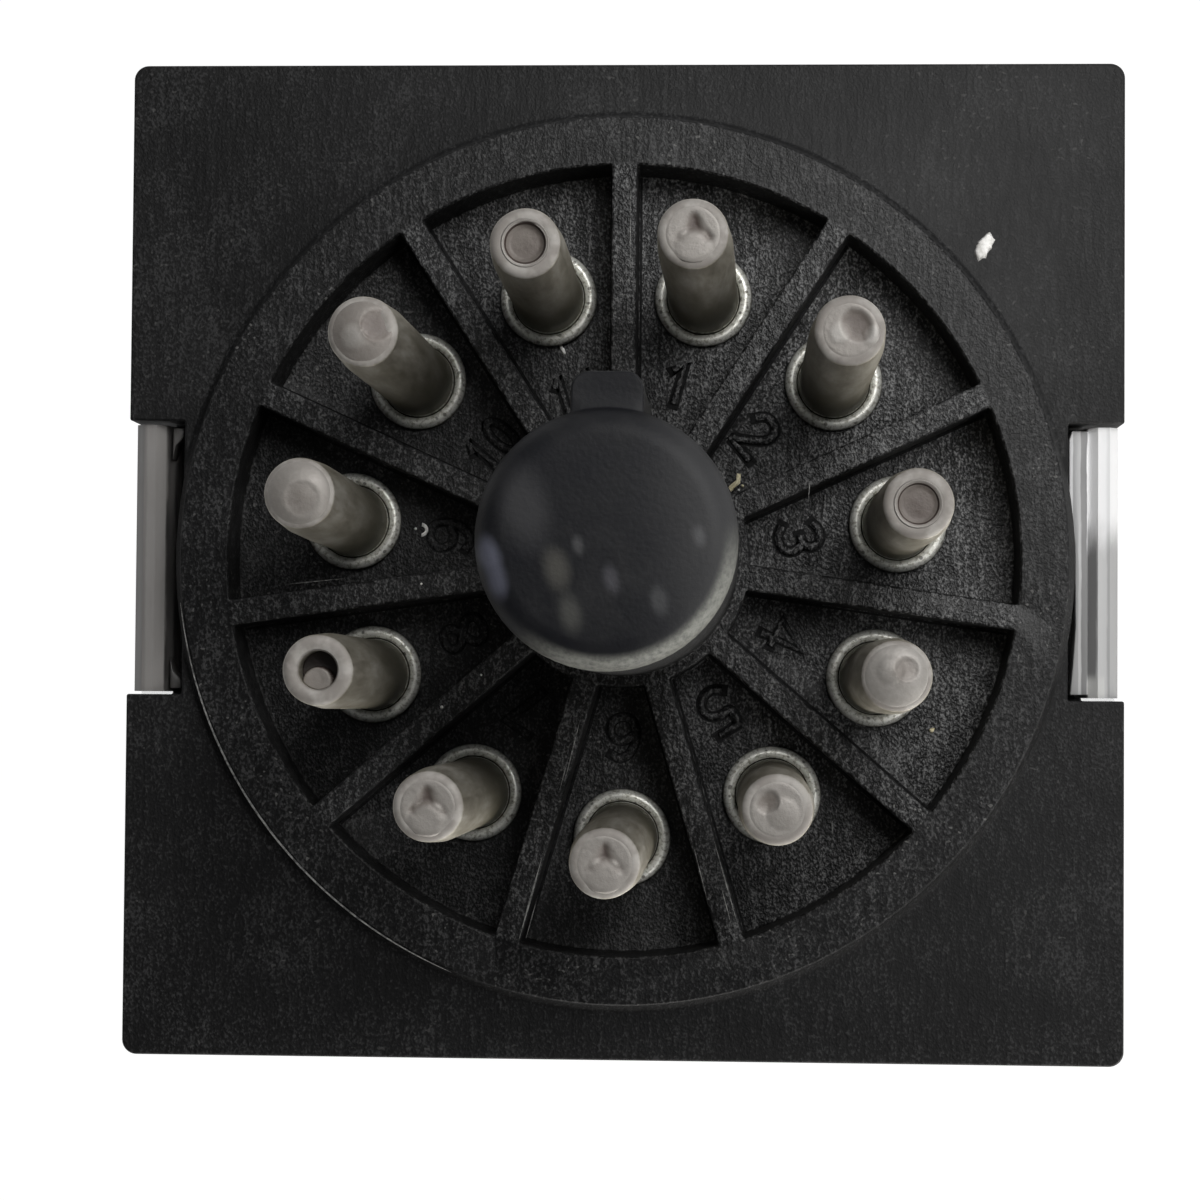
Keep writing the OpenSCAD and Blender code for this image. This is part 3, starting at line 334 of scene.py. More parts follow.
def tinned():
    """Tinned brass, dulled: bright worn collar with dark pits, brown shaft darkened towards its root by painted shade,
    pale flat tip.
    """
    f = Finish("pin_tinned", (0.4, 0.38, 0.34), 0.42, 0.7)
    z = f.axes()[2]
    collar = z.fall(FLOOR_Z + 0.56, FLOOR_Z + 0.66) * z.rise(FLOOR_Z + 0.24, FLOOR_Z + 0.34)
    # painted shade: the shaft darkens down towards its root, in the recess
    root = z.fall(FLOOR_Z + 0.5, FLOOR_Z + 11)
    top = z.rise(PIN_TOP - 0.16, PIN_TOP - 0.1)
    cloud = f.noise(1.3, 3.0, 0.62, scale=(1, 1, 0.2))
    fine = f.noise(7.0, 3.0, 0.65, scale=(1, 1, 0.12))
    pits = f.specks(4.0, 0.34, 0.3)
    body = f.ramp(cloud * 0.7 + fine * 0.3, (0.32, (0.16, 0.145, 0.11)), (0.52, (0.3, 0.28, 0.235)),
                  (0.72, (0.46, 0.44, 0.4)))
    body = f.mix(root * 0.85, body, (0.1, 0.092, 0.06))
    bright = f.mix(fine.rise(0.46, 0.66), (0.78, 0.78, 0.73), (0.36, 0.35, 0.3))
    colour = f.mix(collar * 0.9, body, bright)
    colour = f.mix(pits * collar * 0.75, colour, (0.05, 0.045, 0.035))
    colour = f.mix(top, colour, f.mix(cloud.rise(0.4, 0.65), (0.2, 0.184, 0.168), (0.29, 0.275, 0.255)))
    rough = (0.42 + fine * 0.2 + top * 0.14 - collar * 0.1).clip()
    f.drive(base_color=colour, roughness=rough, metallic=0.85 - top * 0.7 - collar * 0.4 - pits * 0.2,
            normal=f.bump(fine, 0.014, 0.4))
    return f.material


def solder():
    """Solder in the tips: pale dull skin, red-brown flux in the hollows, painted shade in the deep hole of tip 8,
    painted highlights on tip 2.
    """
    f = Finish("solder_skin", (0.4, 0.38, 0.36), 0.5, 0.3)
    tone = f.attribute("tone")
    fine = f.noise(6.0, 4.0, 0.6)
    level = (tone + fine * 0.16 - 0.08).clip()
    colour = f.ramp(level, (0.0, (0.012, 0.007, 0.006)), (0.3, (0.045, 0.03, 0.025)),
                    (0.6, (0.13, 0.113, 0.1)), (0.85, (0.225, 0.21, 0.193)), (1.0, (0.3, 0.288, 0.27)))
    f.drive(base_color=colour, roughness=0.36 + fine * 0.3, metallic=level * 0.35,
            normal=f.bump(fine, 0.03, 0.5))
    return f.material


def clear():
    """Clear cover: a faint grey-green skin that shows mainly at its edges."""
    f = Finish("cover_clear_wall", (0.46, 0.51, 0.505), 0.12, specular_ior_level=0.8)
    facing = f.node("LayerWeight", None, {"Blend": 0.5}, output="Facing")
    haze = f.noise(0.12, 3.0)
    scuff = f.noise(1.4, 4.0, 0.7, scale=(1, 1, 0.15))
    alpha = 0.028 + facing ** 3.0 * 0.5 + haze * 0.03 + scuff.rise(0.58, 0.75) * 0.04
    f.drive(alpha=alpha.clip(), roughness=0.1 + scuff * 0.12, normal=f.bump(scuff, 0.01, 0.3))
    return f.material


LATCH_IN = 15.1
LATCH_OUT = 16.9
# painted light: place across the latch end and brightness of each band
BRIGHT_BANDS = ((15.3, 0.6), (15.33, 0.3), (15.56, 0.34), (15.6, 0.14), (15.78, 0.13), (15.82, 0.8), (16.4, 0.74),
                (16.5, 0.6), (16.68, 0.62))
LOWER_BANDS = ((15.5, 0.3), (15.53, 0.46), (15.6, 0.4), (15.63, 0.17), (16.08, 0.2), (16.14, 0.46), (16.42, 0.42),
               (16.48, 0.28), (16.7, 0.26))
DULL_BANDS = ((15.6, 0.03), (15.66, 0.12), (15.8, 0.03), (15.85, 0.23), (16.42, 0.24), (16.5, 0.16), (16.8, 0.15))


def latch_end():
    """The cut ends of the clear latches: painted light, in bands, where light from the side would come up through them.
    """
    f = Finish("latch_end", (0.6, 0.6, 0.6), 0.3, specular_ior_level=0.5)
    x, y, z = f.axes()
    fine = f.noise(2.4, 3.0, 0.6, scale=(1, 0.25, 1))
    across = ((x.maths("ABSOLUTE") + (fine - 0.5) * 0.12 - LATCH_IN) / (LATCH_OUT - LATCH_IN)).clip()

    def bands(stops, tint):
        return f.ramp(across, *[((at - LATCH_IN) / (LATCH_OUT - LATCH_IN), tuple(v * t for t in tint))
                                for at, v in stops])

    upper = (y + (fine - 0.5) * 1.5).rise(0.2, 1.8)
    lit = f.mix(upper, bands(LOWER_BANDS, (1, 1, 1)), bands(BRIGHT_BANDS, (1, 1, 1.01)))
    # a painted bright stripe across the lower end
    lit = f.mix(y.fall(-4.1, -3.7) * across.near(0.55, 0.14, 0.03), lit, (0.5, 0.5, 0.49))
    dull = f.mix(fine.rise(0.3, 0.7) * 0.4, bands(DULL_BANDS, (1, 0.96, 0.93)), (0.2, 0.19, 0.18))
    f.drive(base_color=f.mix(x > 0, dull, lit), roughness=0.3 + fine * 0.25, normal=f.bump(fine, 0.02, 0.4))
    return f.material


def metal(name, dark, light, roughness, metallic=0.95, lay=(1, 1, 0.1), stain=None, stain_share=0.0):
    """A rolled or plated metal: drawn lines along its lay, clouds, and stains."""
    f = Finish(name, light, roughness, metallic)
    drawn = f.noise(4.0, 3.0, 0.65, scale=lay)
    cloud = f.noise(0.5, 4.0, 0.6)
    fine = f.noise(8.0, 3.0)
    colour = f.ramp(drawn * 0.5 + cloud * 0.5, (0.34, dark), (0.66, light))
    if stain:
        colour = f.mix(cloud.rise(0.5, 0.66) * stain_share, colour, stain)
    f.drive(base_color=colour, roughness=roughness - 0.08 + fine * 0.16 + cloud * 0.08,
            normal=f.bump(drawn + fine * 0.5, 0.012, 0.5))
    return f.material


def plastic(name, dark, light, roughness=0.45, fleck=None, **constants):
    """A moulded plastic: faint flow clouds, fine skin, and flecks where it has them."""
    f = Finish(name, light, roughness, **constants)
    cloud = f.noise(0.35, 3.0)
    skin = f.noise(6.0, 3.0, 0.6)
    colour = f.ramp(cloud * 0.7 + skin * 0.3, (0.35, dark), (0.65, light))
    if fleck:
        colour = f.mix(f.specks(3.0, 0.2, 0.3) * 0.6, colour, fleck)
    f.drive(base_color=colour, roughness=roughness - 0.06 + skin * 0.14, normal=f.bump(skin, 0.015, 0.5))
    return f.material


TURN_PITCH = 0.16  # of the coil wire
TAPE_PITCH = 0.5  # of the ridges that show through the tape


def enamelled():
    """Round copper wire laid turn on turn round the bobbin, with painted shade between the turns."""
    f = Finish("enamelled_copper", (0.55, 0.2, 0.08), 0.28, 0.8)
    z = f.axes()[2]
    turn = (z * (2 * math.pi / TURN_PITCH)).maths("SINE") * 0.5 + 0.5
    cloud = f.noise(0.6, 3.0)
    # painted shade: the colour darkens between the turns
    colour = f.ramp(turn * 0.6 + cloud * 0.4, (0.2, (0.16, 0.045, 0.016)), (0.6, (0.5, 0.17, 0.06)),
                    (0.9, (0.72, 0.32, 0.14)))
    f.drive(base_color=colour, roughness=0.24 + cloud * 0.2, normal=f.bump(turn, 0.05, 0.7))
    return f.material


def film():
    """Coil tape: amber film that shows the turns under it, with a lapped edge."""
    f = Finish("coil_film", (0.6, 0.42, 0.12), 0.3, coat_weight=0.3)
    z = f.axes()[2]
    turn = (z * (2 * math.pi / TAPE_PITCH)).maths("SINE") * 0.5 + 0.5
    cloud = f.noise(0.3, 3.0)
    wrinkle = f.noise(1.2, 3.0, 0.6, scale=(1, 1, 0.25))
    colour = f.ramp(cloud * 0.6 + wrinkle * 0.4, (0.3, (0.42, 0.26, 0.05)), (0.7, (0.66, 0.47, 0.14)))
    colour = f.mix(turn * 0.16, colour, (0.3, 0.14, 0.04))
    f.drive(base_color=colour, roughness=0.24 + wrinkle * 0.2, normal=f.bump(wrinkle + turn * 0.12, 0.06, 0.5))
    return f.material


def braided():
    """Copper braid: crossed strands, with painted shade between them."""
    light = (0.72, 0.34, 0.15)
    f = Finish("braid_copper", light, 0.38, 0.85)
    lay = f.stretched(turn=(0.6, 0.5, 0.8), scale=(1, 1, 0.45))
    strand = f.node("TexVoronoi", {"feature": "F1"}, {"Vector": lay, "Scale": 7.0, "Randomness": 0.25})
    cloud = f.noise(0.8, 3.0)
    # painted shade: dark between the strands
    colour = f.ramp(strand * 0.8 + cloud * 0.3, (0.2, light), (0.75, (0.22, 0.08, 0.03)))
    f.drive(base_color=colour, roughness=0.28 + cloud * 0.2, normal=f.bump(1 - strand, 0.08, 0.8))
    return f.material


def floor_white():
    """Pale floor, white to the camera, that keeps the shadow."""
    f = Finish("pale_floor", (0.8, 0.8, 0.8), 0.9, specular_ior_level=0.1)
    path = f.tree.nodes.new("ShaderNodeLightPath")
    seen, shine, through = (Value(f, path.outputs["Is %s Ray" % kind]) for kind in ("Camera", "Glossy", "Transmission"))
    f.drive(roughness=0.85 + f.noise(0.05, 2.0) * 0.1)
    glow = f.node("Emission", None, {"Color": (1, 1, 1), "Strength": 1.08})
    both = f.tree.nodes.new("ShaderNodeMixShader")
    f.feed(both.inputs[0], (seen + shine + through).clip() * 0.9)
    join(f.shader, 0, both, 1)
    f.feed(both.inputs[2], glow)
    join(both, 0, f.tree.nodes["Material Output"], 0)
    return f.material


# ---- Making pieces ----

def to_object(name, bm_or_mesh, materials, smooth=True):
    """A finished object at the origin; the mesh is in metres."""
    if isinstance(bm_or_mesh, bmesh.types.BMesh):
        mesh = bpy.data.meshes.new(name)
        bm_or_mesh.to_mesh(mesh)
        bm_or_mesh.free()
    else:
        mesh = bm_or_mesh
        mesh.name = name
    mesh.materials.clear()
    for material in materials:
        mesh.materials.append(material)
    for face in mesh.polygons:
        face.use_smooth = smooth
    made = bpy.data.objects.new(name, mesh)
    bpy.context.scene.collection.objects.link(made)
    return made


def place_piece(made, slot, *nodes):
    """A piece of the housing, attached to the housing body, that stands for the nodes it is given: they are hidden. The
    slot is not used.
    """
    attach(made, HOUSING)
    if nodes:
        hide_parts(*nodes)


def copy_of(node, join_degrees=0.5):
    """A merged copy of a CAD node's mesh, with its flat faces joined."""
    bm = bmesh.new()
    bm.from_mesh(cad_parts[node].data)
    bmesh.ops.remove_doubles(bm, verts=bm.verts, dist=1e-6)
    if join_degrees:
        bmesh.ops.dissolve_limit(bm, angle_limit=math.radians(join_degrees), verts=bm.verts, edges=bm.edges)
    return bm


def soften(made, width):
    """Rounds the sharp edges by width, in millimetres."""
    modifier = made.modifiers.new("edge", "BEVEL")
    modifier.width = width * MM
    modifier.segments = 2
    modifier.limit_method = "ANGLE"
    modifier.angle_limit = math.radians(38)
    modifier.use_clamp_overlap = False
    modifier.miter_outer = "MITER_ARC"
    return made


def shade_by_angle(mesh, degrees=32):
    mesh.set_sharp_from_angle(angle=math.radians(degrees))


def smooth_wire(node, name, material, radius):
    """A round wire from the CAD wire: quads, a subdivision, and its own thickness kept."""
    bm = copy_of(node, 0)
    bmesh.ops.join_triangles(bm, faces=bm.faces, angle_face_threshold=math.radians(50),
                             angle_shape_threshold=math.radians(60))
    bm.normal_update()
    for vert in bm.verts:
        vert.co += vert.normal * radius * 0.12 * MM
    made = to_object(name, bm, [material])
    modifier = made.modifiers.new("round", "SUBSURF")
    modifier.levels = modifier.render_levels = 1
    return made


def baked(made):
    """The evaluated mesh as a plain mesh object, with the modifiers gone."""
    bpy.context.view_layer.update()
    graph = bpy.context.evaluated_depsgraph_get()
    mesh = bpy.data.meshes.new_from_object(made.evaluated_get(graph))
    made.modifiers.clear()
    old = made.data
    made.data = mesh
    bpy.data.meshes.remove(old)
    return made


moulding = moulded_black()
satin = spigot_black()
tin = tinned()
skin = solder()
clear_wall = clear()
latch = latch_end()

# ---- Base ----

bm = copy_of("base")
for face in bm.faces:
    face.material_index = 0
base = to_object("base_moulding", bm, [moulding, satin])
for face in base.data.polygons:
    if face.center.z > (SPIGOT_TOP - 1.0) * MM:
        face.material_index = 1
shade_by_angle(base.data)
soften(base, 0.07)
place_piece(base, "base_moulding", "base")

# ---- Numerals on the sector floors ----

STROKES = {
    "0": [[(0.5, 1), (0.1, 0.8), (0, 0.5), (0.1, 0.2), (0.5, 0), (0.9, 0.2), (1, 0.5), (0.9, 0.8), (0.5, 1)]],
    "1": [[(0.2, 0.75), (0.55, 1), (0.55, 0)]],
    "2": [[(0.02, 0.76), (0.2, 0.96), (0.55, 1), (0.88, 0.88), (0.92, 0.64), (0.6, 0.38), (0.1, 0.12), (0, 0), (1, 0)]],
    "3": [[(0.05, 0.84), (0.35, 1), (0.75, 0.96), (0.92, 0.76), (0.75, 0.56), (0.4, 0.53)],
          [(0.75, 0.56), (1, 0.3), (0.8, 0.05), (0.35, 0), (0, 0.16)]],
    "4": [[(0.72, 0), (0.72, 1), (0, 0.3), (1, 0.3)]],
    "5": [[(0.92, 1), (0.15, 1), (0.08, 0.58), (0.5, 0.64), (0.92, 0.5), (0.98, 0.25), (0.7, 0.02), (0.3, 0),
           (0, 0.15)]],
    "6": [[(0.9, 0.88), (0.55, 1), (0.15, 0.8), (0, 0.35), (0.2, 0.04), (0.65, 0), (0.98, 0.2), (0.9, 0.5),
           (0.5, 0.6), (0.08, 0.42)]],
    "7": [[(0, 1), (1, 1), (0.65, 0.5), (0.4, 0)]],
    "8": [[(0.5, 0.54), (0.12, 0.7), (0.15, 0.93), (0.5, 1), (0.85, 0.93), (0.88, 0.7), (0.5, 0.54), (0.05, 0.35),
           (0.05, 0.1), (0.5, 0), (0.95, 0.1), (0.95, 0.35), (0.5, 0.54)]],
    "9": [[(0.1, 0.12), (0.45, 0), (0.85, 0.2), (1, 0.65), (0.8, 0.96), (0.35, 1), (0.02, 0.8), (0.1, 0.5),
           (0.5, 0.4), (0.92, 0.58)]],
}
NUMERAL_R = 6.1
NUMERAL_W = 1.0
PAIR_W = 0.62  # of each digit of 10 and 11
DIGIT_GAP = 0.34
NUMERAL_H = 1.5
STROKE_R = 0.145
CLEAR_NUMERALS = 5  # 1 to 5 stand out; the others are made lower, with narrower painted shade lines
RELIEF, RELIEF_FAINT = 0.9, 0.45
SHADE_BAND_HALF = 0.2  # half the width of the painted shade line round a stroke
SHADE_BAND_HALF_FAINT = 0.178
CREASE = 0.06  # half the width of the painted shade line along a rib's foot
NUMERAL_MOVE = {1: (0.4, 0), 2: (0.22, -0.35)}  # outward and sideways


def rounded(stroke):
    """Cuts the corners of a stroke, so that bowls come out round and its two ends stay."""
    points = [Vector(p) for p in stroke]
    if len(points) < 5:
        return [tuple(p) for p in points]
    closed = (points[0] - points[-1]).length < 1e-6
    for _ in range(2):
        cut = [] if closed else [points[0]]
        for a, b in zip(points, points[1:]):
            cut += [a, b] if (b - a).length > 0.75 else [a.lerp(b, 0.25), a.lerp(b, 0.75)]
        cut.append(cut[0].copy() if closed else points[-1])
        points = cut
    kept = [points[0]]
    for point in points[1:]:
        if (point - kept[-1]).length > 0.03:
            kept.append(point)
    return [tuple(p) for p in kept]


stroke_lines = []
curve = bpy.data.curves.new("numerals", "CURVE")
curve.dimensions = "3D"
curve.bevel_depth = STROKE_R * MM
curve.bevel_resolution = 2
curve.use_fill_caps = True
for n in range(1, PINS + 1):
    word = str(n)
    angle = pin_angle(n)
    out = Vector((math.cos(angle), math.sin(angle), 0))
    across = Vector((math.sin(angle), -math.cos(angle), 0))
    width = NUMERAL_W if len(word) == 1 else PAIR_W
    pitch = width + DIGIT_GAP
    outward, sideways = NUMERAL_MOVE.get(n, (0, 0))
    for k, digit in enumerate(word):
        left = (k - (len(word) - 1) / 2) * pitch - width / 2
        for stroke in STROKES[digit]:
            spline = curve.splines.new("POLY")
            path = rounded(stroke)
            spline.points.add(len(path) - 1)
            line = []
            for point, (u, v) in zip(spline.points, path):
                at = out * (NUMERAL_R + outward + (v - 0.5) * NUMERAL_H) + across * (left + sideways + u * width)
                point.co = (at.x * MM, at.y * MM, 0, 1)
                line.append(at.copy())
            stroke_lines.append((SHADE_BAND_HALF if n <= CLEAR_NUMERALS else SHADE_BAND_HALF_FAINT, line))
for n in range(PINS):
    angle = math.pi / 2 - n * STEP
    out = Vector((math.cos(angle), math.sin(angle), 0))
    for side in (-1, 1):
        beside = Vector((-out.y, out.x, 0)) * side * (RIB_HALF + CREASE)
        stroke_lines.append((CREASE, [out * r + beside for r in (HUB_R, (HUB_R + SECTOR_R) / 2, SECTOR_R - 0.05)]))
holder = bpy.data.objects.new("numerals_curve", curve)
bpy.context.scene.collection.objects.link(holder)
bpy.context.view_layer.update()
mesh = bpy.data.meshes.new_from_object(holder.evaluated_get(bpy.context.evaluated_depsgraph_get()))
bpy.data.objects.remove(holder)
for vert in mesh.vertices:
    n = round((math.pi / 2 - math.atan2(vert.co.y, vert.co.x)) / STEP + 0.5) % PINS
    vert.co.z = vert.co.z * (RELIEF if 1 <= n <= CLEAR_NUMERALS else RELIEF_FAINT) + FLOOR_Z * MM
numerals = to_object("numerals", mesh, [moulding])
place_piece(numerals, "base_moulding")


def flat_strokes():
    """Thin flat bands: the painted shade line round each raised numeral and along the foot of each rib."""
    bm = bmesh.new()
    for half, line in stroke_lines:
        left, right = [], []
        for k, point in enumerate(line):
            before, after = line[max(0, k - 1)], line[min(len(line) - 1, k + 1)]
            if k in (0, len(line) - 1) and (line[0] - line[-1]).length < 1e-9:
                before, after = line[-2], line[1]
            along = (after - before).normalized()
            side = Vector((-along.y, along.x, 0)) * half
            reach = along * (half * (-1 if k == 0 else 1 if k == len(line) - 1 else 0))
            left.append(bm.verts.new((point + reach + side) * MM))
            right.append(bm.verts.new((point + reach - side) * MM))
        for k in range(len(line) - 1):
            bm.faces.new((left[k], right[k], right[k + 1], left[k + 1]))
    for vert in bm.verts:
        vert.co.z = (FLOOR_Z + 0.004) * MM
    base_faces = list(bm.faces)
    grown = bmesh.ops.extrude_face_region(bm, geom=base_faces)
    for item in grown["geom"]:
        if isinstance(item, bmesh.types.BMVert):
            item.co.z += 0.01 * MM
    bmesh.ops.recalc_face_normals(bm, faces=bm.faces)
    return bm


# painted shade: dark flat bands round the numerals and along the ribs' feet
shade_bands = to_object("numeral_shade_bands", flat_strokes(), [shade_line()], smooth=False)
place_piece(shade_bands, "base_moulding")

# ---- Pins ----

LEAN = {1: (-0.16, 0.09), 2: (0.04, 0.08), 3: (-0.13, -0.23), 4: (0.01, -0.05), 6: (0.01, -0.14),
        7: (-0.15, -0.01), 9: (0.15, 0.01), 10: (-0.21, 0.02), 11: (0.16, -0.21)}


def ring_profile():
    """Radius and height up one pin: flared inner end, shank, rolled collar, root, tip, and bore."""
    tip_round = (PIN_R - BORE_R) * 0.4
    tip_r = PIN_R - 0.1
    line = [(BORE_R, PIN_MOUTH), (FOOT_R, PIN_MOUTH), (FOOT_R, PIN_MOUTH + FOOT_H), (PIN_R, PIN_MOUTH + FOOT_H),
            (PIN_R, FLOOR_Z), (COLLAR_R, FLOOR_Z), (COLLAR_R + 0.03, FLOOR_Z + COLLAR_H * 0.5)]
    for inward, share in ((0.02, 0.74), (0.09, 0.92), (0.18, 1.0), (0.28, 0.96), (0.35, 0.82)):
        line.append((COLLAR_R - inward, FLOOR_Z + COLLAR_H * share))
    line += [(COLLAR_R - 0.39, FLOOR_Z + COLLAR_H * 0.4), (PIN_R + 0.06, FLOOR_Z + COLLAR_H * 0.36),
             (PIN_R + 0.05, FLOOR_Z + COLLAR_H * 1.3), (PIN_R, FLOOR_Z + COLLAR_H * 2.4),
             (PIN_R, FLOOR_Z + 8), (PIN_R - 0.01, PIN_TOP - 2.4), (tip_r, PIN_TOP - tip_round - 0.05)]
    for k in range(0, 7):
        a = math.pi / 2 * k / 6
        line.append((tip_r - tip_round + tip_round * math.sin(a), PIN_TOP - tip_round + tip_round * math.cos(a)))
    line[-7:] = line[-1:-8:-1]
    line += [(BORE_R + 0.14, PIN_TOP), (BORE_R + 0.05, PIN_TOP - 0.03), (BORE_R, PIN_TOP - 0.12)]
    return line


def spun_pin():
    profile = ring_profile()
    sides = 56
    bm = bmesh.new()
    rings = []
    for k in range(sides):
        a = 2 * math.pi * k / sides
        rings.append([bm.verts.new((r * math.cos(a) * MM, r * math.sin(a) * MM, z * MM)) for r, z in profile])
    for k in range(sides):
        here, after = rings[k], rings[(k + 1) % sides]
        for j in range(len(profile)):
            nxt = (j + 1) % len(profile)
            bm.faces.new((here[j], after[j], after[nxt], here[nxt]))
    bmesh.ops.recalc_face_normals(bm, faces=bm.faces)
    return bm


def socket_id(tree, name):
    return [item.identifier for item in tree.interface.items_tree if item.name == name][0]


def circle_tree(material):
    """Sets the object's own shape round a circle, with a small random dent in each."""
    tree = bpy.data.node_groups.new("pin circle", "GeometryNodeTree")
    tree.interface.new_socket("Geometry", in_out="INPUT", socket_type="NodeSocketGeometry")
    for name, kind in (("Count", "NodeSocketInt"), ("Circle Radius", "NodeSocketFloat"),
                       ("Dent", "NodeSocketFloat"), ("Seed", "NodeSocketInt")):
        tree.interface.new_socket(name, in_out="INPUT", socket_type=kind)
    tree.interface.new_socket("Geometry", in_out="OUTPUT", socket_type="NodeSocketGeometry")

    def add(kind, **settings):
        made = tree.nodes.new(kind)
        for key, value in settings.items():
            setattr(made, key, value)
        return made

    source, target = add("NodeGroupInput"), add("NodeGroupOutput")
    circle = add("GeometryNodeMeshCircle")
    join(source, "Count", circle, "Vertices")
    join(source, "Circle Radius", circle, "Radius")
    turned = add("GeometryNodeTransform")
    turned.inputs["Rotation"].default_value = (0, 0, pin_angle(1))
    join(circle, "Mesh", turned, "Geometry")
    placed = add("GeometryNodeInstanceOnPoints")
    join(turned, "Geometry", placed, "Points")
    join(source, "Geometry", placed, "Instance")
    spin = add("FunctionNodeRandomValue", data_type="FLOAT")
    spin.inputs["Max"].default_value = 6.28
    join(source, "Seed", spin, "Seed")
    turn = add("ShaderNodeCombineXYZ")
    join(spin, "Value", turn, "Z")
    join(turn, "Vector", placed, "Rotation")
    real = add("GeometryNodeRealizeInstances")
    join(placed, "Instances", real, "Geometry")
    noise = add("ShaderNodeTexNoise", noise_dimensions="3D")
    noise.inputs["Scale"].default_value = 900
    noise.inputs["Detail"].default_value = 1
    here = add("GeometryNodeInputPosition")
    join(here, "Position", noise, "Vector")
    centred = add("ShaderNodeVectorMath", operation="SUBTRACT")
    join(noise, "Color", centred, 0)
    centred.inputs[1].default_value = (0.5, 0.5, 0.5)
    sized = add("ShaderNodeVectorMath", operation="SCALE")
    join(centred, "Vector", sized, 0)
    join(source, "Dent", sized, "Scale")
    moved = add("GeometryNodeSetPosition")
    join(real, "Geometry", moved, "Geometry")
    join(sized, "Vector", moved, "Offset")
    painted = add("GeometryNodeSetMaterial")
    painted.inputs["Material"].default_value = material
    join(moved, "Geometry", painted, "Geometry")
    join(painted, "Geometry", target, "Geometry")
    return tree


pins = to_object("pins", spun_pin(), [tin])
tree = circle_tree(tin)
modifier = pins.modifiers.new("circle", "NODES")
modifier.node_group = tree
for name, value in (("Count", PINS), ("Circle Radius", PIN_CIRCLE * MM), ("Dent", 0.03 * MM), ("Seed", 4)):
    modifier[socket_id(tree, name)] = value
baked(pins)


def leaning(mesh):
    """Each pin stands a little out of true: its upper end is off its axis by LEAN, in millimetres."""
    low, high = FLOOR_Z + COLLAR_H, PIN_TOP
    centres = {n: Vector(pin_centre(n)) * MM for n in LEAN}
    for vert in mesh.vertices:
        share = (vert.co.z / MM - low) / (high - low)
        if share <= 0:
            continue
        for n, centre in centres.items():
            if (vert.co.xy - centre).length < 2 * MM:
                vert.co.x += LEAN[n][0] * MM * share ** 1.4
                vert.co.y += LEAN[n][1] * MM * share ** 1.4
    return mesh


leaning(pins.data)
shade_by_angle(pins.data, 40)
place_piece(pins, "pin_metal", *["pin_%d" % n for n in range(1, PINS + 1)])

# ---- Solder in the tips ----


def bulge(x, y, cx, cy, r):
    d = math.hypot(x - cx, y - cy) / r
    return max(0.0, 1 - d * d) ** 0.5 if d < 1 else 0.0


def blend01(a, b, x):
    t = min(1.0, max(0.0, (x - a) / (b - a)))
    return t * t * (3 - 2 * t)


DOMED = {4: 0.24, 9: 0.28, 10: 0.2}
DOME_R = 1.0
DISHED = (3, 11)
DISH = 0.74
FILM = 0.9


def tip_shape(n, x, y):
    """Height in millimetres over the rim, and tone, at x, y in millimetres from the pin's axis."""
    r = math.hypot(x, y)
    u, v = x / BORE_R, y / BORE_R
    if n == 8:
        # painted shade: the deep hole is near black, only the wire end in it is pale
        wire = blend01(0.05, 0.35, bulge(u, v, -0.08, -0.62, 0.8))
        return -0.95 + 0.62 * wire, 0.02 + 0.7 * wire
    if n == 3:
        edge = blend01(0.62, 1.0, r / DISH)
        return -0.12 + 0.126 * edge, 0.47 + 0.38 * edge - 0.05 * bulge(u, v, 0.1, -0.3, 0.7)
    if n == 11:
        edge = blend01(0.6, 1.0, r / DISH)
        return -0.17 + 0.176 * edge, 0.5 + 0.35 * edge + 0.08 * bulge(u, v, -0.2, 0.3, 0.6)
    if n in DOMED:
        height = -0.1 + (DOMED[n] + 0.1) * max(0.0, 1 - (r / DOME_R) ** 2) ** 0.7
        if n == 10:
            height += 0.05 * bulge(u, v, -0.4, -0.2, 0.9) - 0.1 * bulge(u, v, 0.75, 0.3, 0.8)
            return height, 0.72 - 0.28 * bulge(u, v, 0.7, 0.25, 0.9) + 0.2 * bulge(u, v, -0.4, -0.3, 0.7)
        if n == 4:
            height += 0.07 * bulge(u, v, -0.3, 0.3, 0.7) - 0.09 * bulge(u, v, 0.5, 0.35, 0.6)
            return height, 0.9 - 0.22 * bulge(u, v, 0.4, 0.3, 0.7)
        return height - 0.07 * bulge(u, v, 0.2, -0.3, 0.9), 0.84 - 0.12 * bulge(u, v, 0.1, -0.3, 0.9)
    film = 0.012 - 0.034 * blend01(0.85, 1.0, r / FILM)
    if n in (1, 6, 7):
        lower = bulge(u, v, -0.02, -0.72, 1.05)
        left = bulge(u, v, -1.1, 0.72, 1.05 if n != 7 else 0.9)
        right = bulge(u, v, 1.1, 0.72, 1.05 if n != 1 else 0.9)
        full = min(1.0, blend01(0, 1, lower) + blend01(0, 1, left) + blend01(0, 1, right)
                   + blend01(0.75, 1.2, r / BORE_R))
        return film - 0.1 * (1 - full) + 0.04 * blend01(0.3, 0.9, lower), 0.36 + 0.49 * full
    inner = 1 - blend01(0.9, 1.25, r / BORE_R)
    if n == 2:
        dip = blend01(0, 1, bulge(u, v, 0.45, 0.3, 0.95))
        hill = bulge(u, v, -0.5, -0.15, 0.6)
        crest = bulge(u, v, 1.15, -0.2, 0.5)
        # painted highlights: the hill and the crest are made lighter
        shade = 0.8 - 0.34 * dip * inner + 0.16 * hill + 0.25 * crest
        return film - 0.07 * dip * inner + 0.03 * hill + 0.03 * crest, shade
    dip = bulge(u, v, -0.5, 0.4, 0.6)
    return film - 0.1 * dip * inner + 0.05 * bulge(u, v, 0.3, -0.2, 0.8), 0.86 - 0.26 * dip * inner


